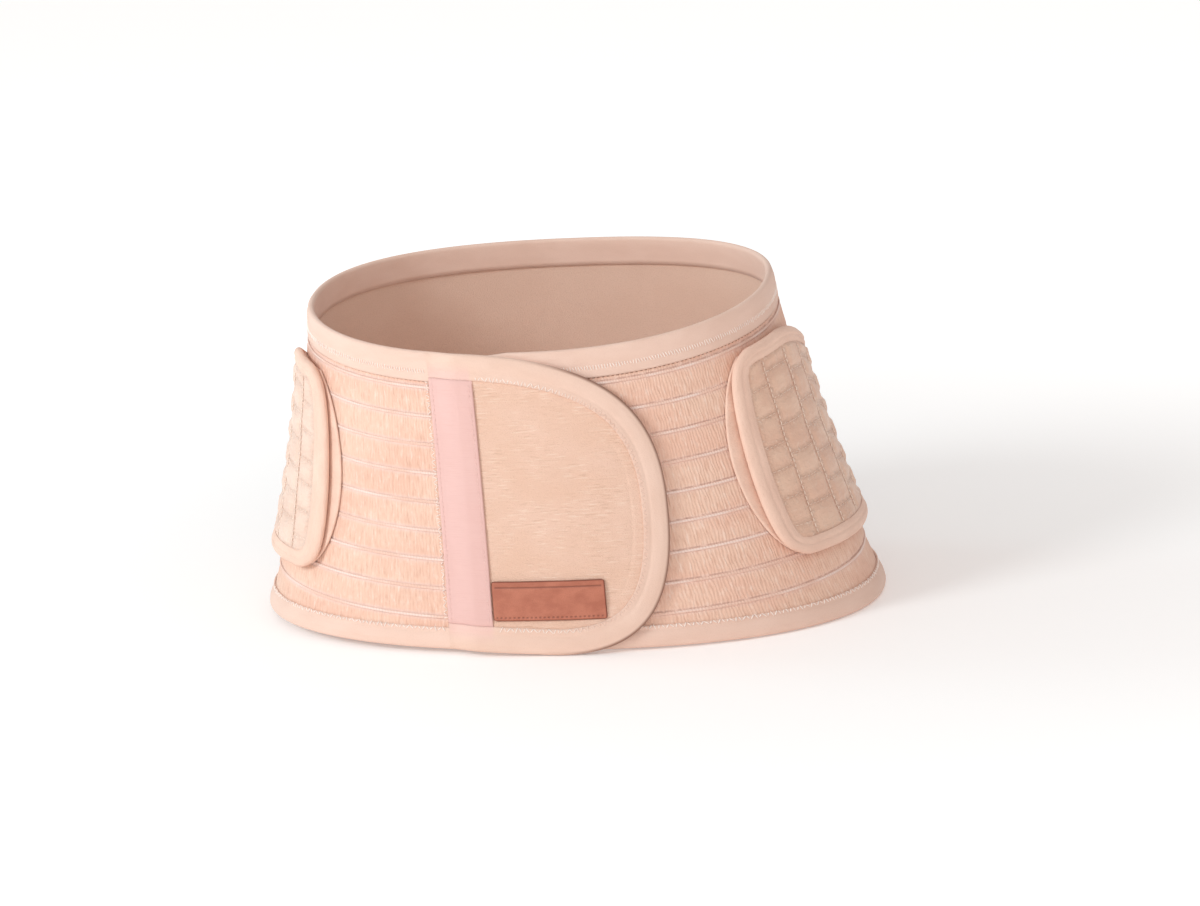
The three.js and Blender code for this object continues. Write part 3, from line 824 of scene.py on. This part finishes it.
# painted shadow: dark thread for the dashes of shade under the top binding's lip, fading to pale towards
# the brightly lit left
SHADOW_DASH_THREAD = thread_material("Dark thread as painted shadow", (160, 112, 92), (186, 138, 116), roughness=0.7,
                                fade=(-0.03, -0.09, (230, 188, 166)))
SHINY_THREAD = thread_material("Shiny quilting thread", (230, 198, 178), (253, 234, 218), roughness=0.3)


# Folded strips

def face_rise(strip, distance):
    """How far a strip's face stands out at a distance from its fold: a puff, a crease and a thin lip."""
    puff = FACE["puff"] * np.sin(math.pi * np.clip(distance / strip["crease"], 0, 1))
    puff = puff * np.clip((distance - FACE["fold"]) / FACE["fold"], 0, 1)
    crease = FACE["crease"] * bell(distance - strip["crease"], FACE["crease_width"])
    return puff - crease - strip["lip"] * bell(strip["width"] - distance, FACE["lip_width"])


def fold_paths(strip, inside, outside):
    """The outer and the inner path across a strip folded over an edge: distances from the fold, and depths.

    Each goes from the lip in front, over the fold, to the lip behind."""
    front = outside + GAP + CLOTH
    behind = inside - GAP - CLOTH
    radius = (front - behind) / 2
    middle = (front + behind) / 2
    face = np.linspace(strip["width"], radius, FACE_STEPS)
    turn = np.linspace(math.pi / 2, -math.pi / 2, TURN_STEPS)[1:-1]
    back = np.linspace(radius, strip["width"], BACK_STEPS)
    paths = []
    for inset, rise in ((0.0, face_rise(strip, face)), (CLOTH, 0 * face)):
        bend = radius - inset
        distance = np.concatenate([face, radius - bend * np.cos(turn), back])
        behind_it = behind + inset + 0 * back
        depth = np.concatenate([front - inset + rise, middle + bend * np.sin(turn), behind_it])
        paths.append((distance, depth))
    return paths


def with_crisp_ends(rows, step):
    return np.concatenate([rows[:1], rows[:1] + step, rows[1:-1], rows[-1:] - step, rows[-1:]])


def path_length(distance, depth):
    return running_length(np.hypot(np.diff(distance), np.diff(depth)))


def fold(name, surface, paths, run, sway, material):
    """A strip folded along an edge: run is the way along it, and sway goes on top of its outer path."""
    (distance, depth), inner_path = paths
    maps = {"Flat": (run, path_length(distance, depth))}
    outer = surface(run, distance, depth + sway)
    return make_sheet(name, outer, surface(run, *inner_path), [material], maps)


# Flap outline, from the tape along the top, round the end and back along the bottom

def bezier(controls):
    share = np.linspace(0, 1, CURVE_STEPS)[:, None]
    a, b, c, d = (np.array(point) for point in controls)
    near = (1 - share) ** 3 * a + 3 * (1 - share) ** 2 * share * b
    return near + 3 * (1 - share) * share ** 2 * c + share ** 3 * d


def flap_outline():
    """Evenly spaced points of the outline and the length along it up to each of them."""
    fronts = np.array([TAPE["left"], RAMP["start"]])
    top, bottom, _ = belt_edges(fronts, np.ones(2))
    corners = np.concatenate([
        np.stack([fronts, top], axis=1),
        bezier(FLAP_UPPER_CURVE),
        bezier(FLAP_LOWER_CURVE)[1:],
        np.array(FLAP_LOWER_EDGE),
        np.stack([fronts, bottom], axis=1)[::-1],
    ])
    run = line_length(corners)
    even = np.linspace(0, run[-1], int(run[-1] / OUTLINE_STEP))
    return np.stack([np.interp(even, run, corners[:, axis]) for axis in range(2)], axis=1), even


OUTLINE, OUTLINE_RUN = flap_outline()


def outline_inward():
    """Directions into the flap: straight up or down on the ramp, and square to the outline beyond it."""
    run = np.gradient(OUTLINE, axis=0)
    run = run / np.linalg.norm(run, axis=1, keepdims=True)
    square = np.stack([run[:, 1], -run[:, 0]], axis=1)
    upright = np.stack([np.zeros(len(run)), -np.sign(OUTLINE[:, 1])], axis=1)
    share = ease(OUTLINE[:, :1], RAMP_END, TURN_IN)
    inward = upright * (1 - share) + square * share
    return inward / np.linalg.norm(inward, axis=1, keepdims=True)


INWARD = outline_inward()


def lift_at(front):
    return FLAP_LIFT * ease(front, **RAMP)


def on_front(front, z, depth):
    return place(front / girth_scale(z), z, depth + lift_at(front))


def on_flap_edge(run, inset, depth):
    x, z = (np.interp(run, OUTLINE_RUN, OUTLINE[:, axis]) for axis in range(2))
    inward_x, inward_z = (np.interp(run, OUTLINE_RUN, INWARD[:, axis]) for axis in range(2))
    return on_front(x + inset * inward_x, z + inset * inward_z, depth)


def flap_heights(front, inset):
    """The flap's lower and upper edge at a distance from the front centre, moved inwards."""
    x, z = (OUTLINE + inset * INWARD).T
    tip = int(np.argmax(x))
    upper = np.interp(front, x[:tip + 1], z[:tip + 1])
    lower = np.interp(front, x[tip:][::-1], z[tip:][::-1])
    return lower, upper


def outline_distance(front, z):
    """How far a point is from the flap's outline."""
    nearest = np.full(front.shape, np.inf)
    for corner in OUTLINE:
        nearest = np.minimum(nearest, np.hypot(front - corner[0], z - corner[1]))
    return nearest


# Elastic panel, its rib cords and its two bindings

def panel_columns():
    """Turn and front of each column, from the under-end to the sewn end beneath the tape."""
    turn = np.linspace(0, 1, PANEL_COLUMNS)
    sewn = np.array([RAMP["start"], *SEWN_COLUMNS, SEAM - GAP])
    return np.concatenate([turn, np.ones(len(sewn))]), np.concatenate([belt_front(turn), sewn])


def panel_edges(turn, front):
    top, bottom, last = belt_edges(front, turn)
    low, high = flap_heights(front, 0.0)
    sewn = (turn == 1) & (front > TAPE["left"])
    return np.where(sewn, high, top), np.where(sewn, low, bottom), last


def make_panel():
    turn, front = (value[:, None] for value in panel_columns())
    top, bottom, last = panel_edges(turn, front)
    first, pitch = rib_levels(top, bottom, last)
    above = np.linspace(top[:, 0] - EDGE_INSET, first[:, 0], EDGE_ROWS + 1, axis=1)[:, :-1]
    bands = first - np.linspace(0, BANDS, BANDS * ROWS_PER_BAND + 1) * pitch
    below = np.linspace(bands[:, -1], bottom[:, 0] + EDGE_INSET, EDGE_ROWS + 1, axis=1)[:, 1:]
    z = np.concatenate([above, bands, below], axis=1)
    band = (first - z) / pitch
    to_rib = np.abs(band - np.clip(np.round(band), 0, BANDS)) * pitch
    along = belt_along(front, turn, z)
    between = (band > 0) & (band < BANDS)
    rise = (PANEL_CREST - RIB_DEPTH) * smooth(to_rib / RIB_REACH) * between
    gathers = ripple("gathers", along, z) * np.exp(-to_rib / GATHER_REACH) * between
    sway = ripple("panel", along, z) * between
    off_edge = ease(np.minimum(top - z, z - bottom), **FLAT_EDGE)
    depth = BOUND_DEPTH + rise + (RIB_DEPTH - BOUND_DEPTH + gathers + sway) * off_edge
    lift = np.where(turn == 1, lift_at(front), 0.0)
    outer = place(along, z, depth + lift)
    inner = place(along, z, lift)
    maps = {"Flat": (turn * GIRTH + front, z), "Bands": (0.0, band)}
    return make_sheet("elastic_wall", outer, inner, [ELASTIC, LINING], maps)


def make_cords():
    turn = np.linspace(CORD["start"], 1, PANEL_COLUMNS)[:, None]
    front = belt_front(turn)
    first, pitch = rib_levels(*belt_edges(front, turn))
    run = turn * GIRTH + front
    spin = 2 * math.pi * np.arange(CORD["sides"]) / CORD["sides"]
    ring_faces = grid_faces(len(turn), CORD["sides"], wrap_columns=True)
    points = []
    faces = []
    flat = []
    for rib in range(BANDS + 1):
        level = first - rib * pitch
        z = level + CORD["tall"] * np.sin(spin)
        depth = RIB_DEPTH + CORD["rise"] + CORD["deep"] * np.cos(spin) + ripple("cord", run, rib)
        points.append(place(belt_along(front, turn, z), z, depth).reshape(-1, 3))
        faces.append(ring_faces + rib * z.size)
        flat.append(np.stack([run + 0 * z, CORD["map_pitch"] * rib + z - level], axis=-1).reshape(-1, 2))
    points = np.concatenate(points)
    piece = add_piece("rib_cords", points, outward(points, np.concatenate(faces)).tolist(), [CORD_CLOTH])
    add_map(piece.data, "Flat", np.concatenate(flat))
    return piece


def make_edge_binding(name, strip, top_edge):
    turn = with_crisp_ends(np.linspace(0, 1, PANEL_COLUMNS), CRISP / GIRTH)[:, None]
    run = turn * GIRTH + belt_front(turn)
    paths = fold_paths(strip, 0.0, BOUND_DEPTH)
    distance, depth = paths[0]
    loose = ease(distance, **LOOSE) * (depth > BOUND_DEPTH)
    sway = ripple(name, run, distance) * loose * smooth((run[-1] - run) / SETTLED)
    return fold(name, on_edge(top_edge), paths, run, sway, BINDING)


def edge_row(kind):
    """Places of stitches along a belt edge."""
    end = GIRTH + TAPE["left"] - TAPE_MARGIN
    return np.arange(UNDER_END + STITCH_MARGIN, end, STITCH_ROWS[kind]["spacing"])


def edge_stitches(kind, strip, top_edge):
    depth = BOUND_DEPTH + GAP + CLOTH - STITCH_SINK
    return stitches(kind, on_edge(top_edge), edge_row(kind), strip["thread"], depth)


def lip_stitches():
    """Stitch-shaped dark dashes along the lower lip of the top binding: painted shadow of the gaps in its
    seam.
    """
    row = STITCH_ROWS["lip"]
    distance = TOP_BINDING["width"] + row["beyond"]
    return stitches("lip", on_edge(True), edge_row("lip"), distance, RIB_DEPTH + row["rise"])


# Flap, its binding, the tape and the label

def make_flap():
    share = np.sin(np.linspace(0, 1, FLAP_COLUMNS) * math.pi / 2)
    front = (SEAM + GAP + (FLAP_TIP - SEAM - GAP) * share)[:, None]
    lower, upper = flap_heights(front, FLAP_INSET)
    z = lower + (upper - lower) * np.linspace(0, 1, FLAP_ROWS)
    front = front + 0 * z
    inset = outline_distance(front, z)
    step = 1 - ease(inset, CONTOUR["inset"], CONTOUR["width"])
    past_step = inset - CONTOUR["inset"] - CONTOUR["width"]
    groove = CONTOUR["groove"] * bell(past_step, CONTOUR["groove_width"])
    sway = ease(inset, **FLAP_SWAY) * (ripple("flap", front, z) + ripple("fine flap", front, z))
    depth = FLAP_DEPTH + CONTOUR["height"] * step - groove + sway
    return lay("flap_cloth", on_front, front, z, 0.0, depth, FLEECE)


def make_flap_binding():
    paths = fold_paths(FLAP_BINDING, 0.0, FLAP_DEPTH)
    distance, depth = paths[0]
    length = OUTLINE_RUN[-1]
    run = with_crisp_ends(OUTLINE_RUN, CRISP)[:, None]
    away = smooth(np.minimum(run, length - run) / SETTLED)
    sway = ripple("flap edge", run, distance) * ease(distance, **LOOSE) * away
    on_top = run < length / 2
    belt_rise = np.where(on_top, face_rise(TOP_BINDING, distance), face_rise(BOTTOM_BINDING, distance))
    settled = (belt_rise - face_rise(FLAP_BINDING, distance) + BOUND_DEPTH - FLAP_DEPTH) * (1 - away)
    cloth = binding_material("Flap binding cloth", (227, 191, 172), (232, 198, 180), flap_length=length)
    return fold("flap_edge", on_flap_edge, paths, run, (sway + settled) * (depth > FLAP_DEPTH), cloth)


def make_tape():
    inside = PANEL_CREST + GAP
    front = np.linspace(TAPE["left"], TAPE["right"], TAPE["columns"])[:, None]
    lower, upper = flap_heights(np.maximum(front, OUTLINE[0, 0]), FLAP_BINDING["width"] + TAPE_CLEAR)
    z = lower + (upper - lower) * np.linspace(0, 1, TAPE["rows"])
    front = front + 0 * z
    to_side = np.minimum(front - TAPE["left"], TAPE["right"] - front)
    to_end = np.minimum(z - lower, upper - z)
    thin_side = TAPE_EDGE["side"] * (1 - smooth(to_side / TAPE_EDGE["side_width"]))
    thin_end = TAPE_EDGE["end"] * (1 - smooth(to_end / TAPE_EDGE["end_width"]))
    pinch = TAPE_PINCH["depth"] * bell(to_side - TAPE["thread"], TAPE_PINCH["width"])
    gathers = ripple("tape", front, z) + ripple("fine tape", front, z)
    depth = inside + TAPE["thickness"] - thin_side - thin_end - pinch + gathers
    return lay("satin_tape", on_front, front, z, inside, depth, SATIN)


def upright_row(kind):
    """Places of stitches up the belt, between the lips of the bindings right of the tape's left edge."""
    front = TAPE["left"] + STITCH_ROWS[kind]["ends_at"]
    return row_places(kind, *flap_heights(front, FLAP_BINDING["width"] + LIP_CLEAR))


def tape_stitches():
    """A row of thread along each side of the tape."""
    z = upright_row("tape")
    depth = PANEL_CREST + GAP + TAPE["thickness"] - STITCH_SINK
    sides = (TAPE["left"] + TAPE["thread"], TAPE["right"] - TAPE["thread"])
    return [stitches("tape", on_front, x, z, depth, angle=math.pi / 2) for x in sides]


def gather_stitches():
    """Pale zigzag where the elastic is sewn down beside the tape."""
    z = upright_row("gather")
    x = TAPE["left"] - STITCH_ROWS["gather"]["beyond"]
    return stitches("gather", on_front, x, z, PANEL_CREST + STITCH_SINK)


def flap_stitches():
    run = np.arange(STITCH_MARGIN, OUTLINE_RUN[-1] - STITCH_MARGIN, STITCH_ROWS["flap"]["spacing"])
    depth = FLAP_DEPTH + GAP + CLOTH - STITCH_SINK
    return stitches("flap", on_flap_edge, run, FLAP_BINDING["thread"], depth)


def make_label():
    inside = FLAP_DEPTH + GAP
    columns = int((LABEL["right"] - LABEL["left"]) / LABEL_STEP)
    rows = int((LABEL["top"] - LABEL["bottom"]) / LABEL_STEP)
    z = np.linspace(LABEL["bottom"], LABEL["top"], rows)[None, :]
    to_end = np.minimum(z - LABEL["bottom"], LABEL["top"] - z)
    short = np.clip(LABEL["corner"] - to_end, 0, None)
    trim = LABEL["corner"] - np.sqrt(LABEL["corner"] ** 2 - short ** 2)
    left = LABEL["left"] + trim
    right = LABEL["right"] - trim
    front = left + (right - left) * np.linspace(0, 1, columns)[:, None]
    z = z + 0 * front
    to_side = np.minimum(front - left, right - front)
    edge = np.minimum(to_side, to_end)
    upper = bell(LABEL["top"] - z - LABEL_LINE["top"], LABEL_LINE["width"])
    dashes = smooth(0.5 + LABEL_DASH["sharpness"] * np.sin(2 * math.pi * front / LABEL_DASH["length"]))
    lower = bell(z - LABEL["bottom"] - LABEL_LINE["bottom"], LABEL_LINE["width"]) * dashes
    line = np.maximum(upper, lower) * ease(to_side, LABEL_LINE["ends"], LABEL_LINE["fade"])
    pressed = round_off(edge, LABEL_BEVEL) + LABEL_LINE["depth"] * line
    depth = inside + LABEL["thickness"] - pressed + ripple("label", front, z)
    return lay("leather_patch", on_front, front, z, inside, depth, LEATHER, Edge=(edge, line))


# Side straps

def strap_level(height):
    """From -1 at the strap's lower edge to 1 at its upper edge."""
    return 2 * height / STRAP_HEIGHT - 1


def strap_along(layer, length, height):
    level = strap_level(height)
    bow = layer["bow"] * level ** 2 + END_CORNER["bow"] * level ** END_CORNER["power"]
    return layer["apex"] + length + bow * np.maximum(0, 1 - length / END_REACH)


def on_strap(strap, layer):
    """The surface of a strap's layer: x is the length round the belt and y the height up the strap."""
    def surface(x, y, depth):
        run = x + strap["shift"] + strap["turn"] * strap_level(y)
        angle = angle_at(strap["side"] * run)
        bottom = edge_height(BOTTOM_EDGE, angle) + strap["above_bottom"]
        top = edge_height(TOP_EDGE, angle) - STRAP_BELOW_TOP - REAR_DROP * ease(run, **REAR_TAPER)
        z = bottom + (top - bottom) * y / STRAP_HEIGHT
        return place(strap["side"] * run, z, layer["depth"] + depth)
    return surface


def row_lines(column):
    """Heights of the lines between a column's cells; the half row is at the bottom and the top by turns."""
    pitch = (STRAP_HEIGHT - 2 * RIM["side"]) / CELL_ROWS
    first = RIM["side"] + (pitch / 2 if column % 2 == 0 else pitch)
    lines = int(CELL_ROWS)
    jitter = np.random.default_rng(CELL_SEED + column).uniform(-CELL_JITTER, CELL_JITTER, lines)
    return first + pitch * np.arange(lines) + jitter


def seam_distance(along, height):
    """Distances to the nearest upright seam and to the nearest level seam of the quilting."""
    place_in = (along + ripple("upright seam", along, height) - FIRST_COLUMN) / CELL_LENGTH
    column = np.clip(np.floor(place_in).astype(int) + 1, 0, CELL_COLUMNS)
    nearest = np.clip(np.round(place_in), 0, CELL_COLUMNS)
    upright = np.abs(place_in - nearest) * CELL_LENGTH
    level = np.full(along.shape, np.inf)
    height = height + ripple("level seam", along, height)
    for number in range(CELL_COLUMNS + 1):
        gap = np.abs(height[..., None] - row_lines(number)).min(axis=-1)
        level = np.where(column == number, gap, level)
    return upright, level


def rim_distance(length, height):
    """How far a point of the pad is inside the rim's inner edge; it is negative under the rim."""
    ends = np.minimum(length - RIM["end"], STRAP_LENGTH - RIM["end"] - length)
    sides = np.minimum(height - RIM["side"], STRAP_HEIGHT - RIM["side"] - height)
    return np.minimum(ends, sides)


def pad_depth(along, length, height):
    """The pad's thickness, the distance to its nearest seam and the distance in from the rim."""
    upright, level = seam_distance(along, height)
    inside = rim_distance(length, height)
    seam = np.minimum(upright, level)
    puff = ease(upright, **CELL_SHOULDER) * ease(level, **CELL_SHOULDER)
    puff = puff * smooth(inside / RIM_SHOULDER["puff"])
    visible = smooth(inside / RIM_SHOULDER["cloth"])
    crinkle = ripple("crinkle", along, height) + ripple("fine crinkle", along, height)
    crinkle = crinkle * (FLAT_CRINKLE + (1 - FLAT_CRINKLE) * puff)
    pucker = PUCKER["share"] * ripple("pucker", along, height) * np.exp(-seam / PUCKER["reach"])
    base = PUFF["under_rim"] + (PUFF["seam"] - PUFF["under_rim"]) * visible
    full = puff * (CELL_FULLNESS + ripple("fullness", along, height))
    depth = base + (PUFF["crest"] - base) * full + (crinkle + pucker) * visible
    return depth, seam, inside


def make_pad(strap):
    end = PAD["inset"] * RIM["end"] / RIM["side"]
    length = np.linspace(end, STRAP_LENGTH - end, int(STRAP_LENGTH / PAD_STEP))[:, None]
    height = np.linspace(PAD["inset"], STRAP_HEIGHT - PAD["inset"], int(STRAP_HEIGHT / PAD_STEP))[None, :]
    length, height = np.broadcast_arrays(length, height)
    along = strap_along(PAD, length, height)
    depth, seam, inside = pad_depth(along, length, height)
    to_seam = np.minimum(seam, np.abs(inside))
    name = strap["name"]
    return lay(f"quilted_pad_{name}", on_strap(strap, PAD), along, height, 0.0, depth, QUILTS[name],
               Seam=(to_seam, inside))


def quilt_stitches(strap):
    """Thread along the upright and the level seams of a pad, where the rim leaves them bare."""
    def bare(x, height):
        return x > strap_along(PAD, RIM["end"], height) + RIM_CLEAR
    surface = on_strap(strap, PAD)
    groups = []
    heights = row_places("upright", RIM["side"], STRAP_HEIGHT - RIM["side"])
    depth = PUFF["seam"] + STITCH_ROWS["upright"]["rise"]
    for column in range(CELL_COLUMNS):
        x = FIRST_COLUMN + column * CELL_LENGTH + 0 * heights
        x = x - ripple("upright seam", x, heights)
        shown = bare(x, heights)
        groups.append(stitches("upright", surface, x[shown], heights[shown], depth, angle=math.pi / 2))
    depth = PUFF["seam"] + STITCH_ROWS["level"]["rise"]
    for column in range(CELL_COLUMNS + 1):
        start = FIRST_COLUMN + (column - 1) * CELL_LENGTH
        for line in row_lines(column):
            x = row_places("level", start, start + CELL_LENGTH)
            x = x[bare(x, line)]
            if len(x):
                y = line - ripple("level seam", x, line)
                groups.append(stitches("level", surface, x, y, depth))
    return groups


def rim_loop():
    """Shares of the strap's length and height round its outline, with rounded corners, from the rear end.

    The third result is the way to the rear end, by the shorter way round."""
    along = RIM["corner"] / STRAP_LENGTH
    up = RIM["corner"] / STRAP_HEIGHT
    quarter = np.linspace(0, math.pi / 2, RIM["corner_steps"])
    centres = ((1 - along, 1 - up), (along, 1 - up), (along, up), (1 - along, up))
    corners = []
    for number, (x, y) in enumerate(centres):
        turn = quarter + number * math.pi / 2
        corners.append(np.stack([x + along * np.cos(turn), y + up * np.sin(turn)], axis=1))
    outline = np.concatenate([[(1.0, 0.5)], *corners, [(1.0, 0.5)]])
    run = line_length(outline * np.array([STRAP_LENGTH, STRAP_HEIGHT]))
    even = np.linspace(0, run[-1], RIM["points"], endpoint=False)
    to_rear = np.minimum(even, run[-1] - even)
    return np.interp(even, run, outline[:, 0]), np.interp(even, run, outline[:, 1]), to_rear


def make_rim(strap):
    u, v, run = (value[:, None] for value in rim_loop())
    paths = fold_paths(RIM_STRIP, -PAD["slack"], PAD["edge"] + PAD["slack"])
    faces_of_strip = []
    for distance, depth in paths:
        end = distance * RIM["end"] / RIM["side"]
        length = end + (STRAP_LENGTH - 2 * end) * u
        height = distance + (STRAP_HEIGHT - 2 * distance) * v
        sway = ripple("rim", run, distance) * (depth > PAD["edge"])
        along = strap_along(PAD, length, height)
        faces_of_strip.append(on_strap(strap, PAD)(along, height, depth + sway))
    maps = {"Flat": (run, path_length(*paths[0]))}
    return make_sheet(f"pad_rim_{strap['name']}", *faces_of_strip, [RIM_CLOTH], maps, loop=True)


def make_underlay(strap):
    low = UNDERLAY["inset"]
    high = STRAP_HEIGHT - UNDERLAY["inset"]
    length = (UNDERLAY_LENGTH * np.linspace(0, 1, UNDERLAY_COLUMNS) ** UNDERLAY_CROWDING)[:, None]
    height = np.linspace(low, high, UNDERLAY_ROWS)[None, :]
    length, height = np.broadcast_arrays(length, height)
    along = strap_along(UNDERLAY, length, height)
    edge = np.minimum(length, np.minimum(height - low, high - height))
    depth = UNDERLAY["thickness"] - round_off(edge, UNDERLAY_BEVEL) + ripple("underlay", along, height)
    name = f"underlay_{strap['name']}"
    return lay(name, on_strap(strap, UNDERLAY), along, height, 0.0, depth, RIM_CLOTH)


# The belt

panel = belong(make_panel(), "elastic", "elastic_panel")
cords = belong(make_cords(), "elastic")
top_binding = belong(make_edge_binding("top_edge", TOP_BINDING, True), "binding", "top_binding")
bottom_binding = make_edge_binding("bottom_edge", BOTTOM_BINDING, False)
belong(bottom_binding, "binding", "bottom_binding")
flap = belong(make_flap(), "fleece", "flap_panel")
flap_edge = belong(make_flap_binding(), "binding", "flap_binding")
tape = belong(make_tape(), "tape", "seam_tape")
label = belong(make_label(), "leather", "label_patch")

top_thread = sew("top_edge_stitches", "binding", THREAD, edge_stitches("top", TOP_BINDING, True))
lip_shadow = sew("top_lip_shadow_stitches", "binding", SHADOW_DASH_THREAD, lip_stitches())
bottom_row = edge_stitches("bottom", BOTTOM_BINDING, False)
bottom_thread = sew("bottom_edge_stitches", "binding", THREAD, bottom_row)
flap_thread = sew("flap_stitches", "binding", FLAP_THREAD, flap_stitches())
tape_thread = sew("tape_stitches", "tape", PINK_THREAD, *tape_stitches())
gather_thread = sew("gather_stitches", "elastic", THREAD, gather_stitches())

for strap in STRAPS:
    name = strap["name"]
    underlay = belong(make_underlay(strap), "binding", f"strap_underlay_{name}")
    pad = belong(make_pad(strap), "quilt", f"strap_pad_{name}")
    rim = belong(make_rim(strap), "binding", f"strap_binding_{name}")
    sew(f"quilting_thread_{name}", "quilt", SHINY_THREAD, *quilt_stitches(strap))

visual_box = [list(corner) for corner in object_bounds()]


# Floor, light and camera

def make_floor(level):
    """A pale floor that glows more away from the belt."""
    look = Shader("Pale floor", mapped=False)
    place_at = look.node("TexCoord").outputs["Object"]
    away = look.node("VectorMath", {0: place_at}, operation="LENGTH").outputs["Value"]
    glow = look.plus(look.times(look.step(away, *FLOOR_FAR), FLOOR["far_glow"]), FLOOR["glow"])
    look.join(look.surface.inputs["Emission Color"], WHITE)
    look.join(look.surface.inputs["Emission Strength"], glow)
    look.tone = colour(*FLOOR["colour"])
    size = FLOOR["half_size"]
    mesh = bpy.data.meshes.new("floor")
    corners = [(-size, -size, 0.0), (size, -size, 0.0), (size, size, 0.0), (-size, size, 0.0)]
    mesh.from_pydata(corners, [], [(0, 1, 2, 3)])
    mesh.materials.append(look.finish(0.7, specular=0.2))
    floor = link("floor", mesh)
    floor.location.z = level


def make_light(lamp):
    data = bpy.data.lights.new(lamp["name"], "AREA")
    data.shape = "DISK"
    data.size = lamp["size"]
    data.energy = lamp["power"]
    data.color = lamp["tint"]
    light = link(lamp["name"], data)
    light.location = lamp["at"]
    light.rotation_mode = "QUATERNION"
    light.rotation_quaternion = (-Vector(lamp["at"])).to_track_quat("-Z", "Y")


def make_world():
    world = bpy.data.worlds.new("Studio")
    world.use_nodes = True
    background = world.node_tree.nodes["Background"]
    background.inputs["Color"].default_value = WHITE
    background.inputs["Strength"].default_value = WORLD_STRENGTH
    bpy.context.scene.world = world


def make_camera():
    data = bpy.data.cameras.new("Camera")
    data.lens = LENS
    data.sensor_width = SENSOR
    data.shift_x = SHIFT_X
    camera = link("Camera", data)
    level = Matrix.Rotation(AZIMUTH, 4, "Z") @ Matrix.Rotation(math.pi / 2 - ELEVATION, 4, "X")
    turned = level @ Matrix.Rotation(-ROLL, 4, "Z")
    camera.matrix_world = turned @ Matrix.Translation((0.0, 0.0, DISTANCE))
    bpy.context.scene.camera = camera


make_floor(visual_box[0][2] - FLOOR["drop"])
make_world()
for lamp in LIGHTS:
    make_light(lamp)
make_camera()
bpy.context.scene.view_settings.view_transform = "Standard"
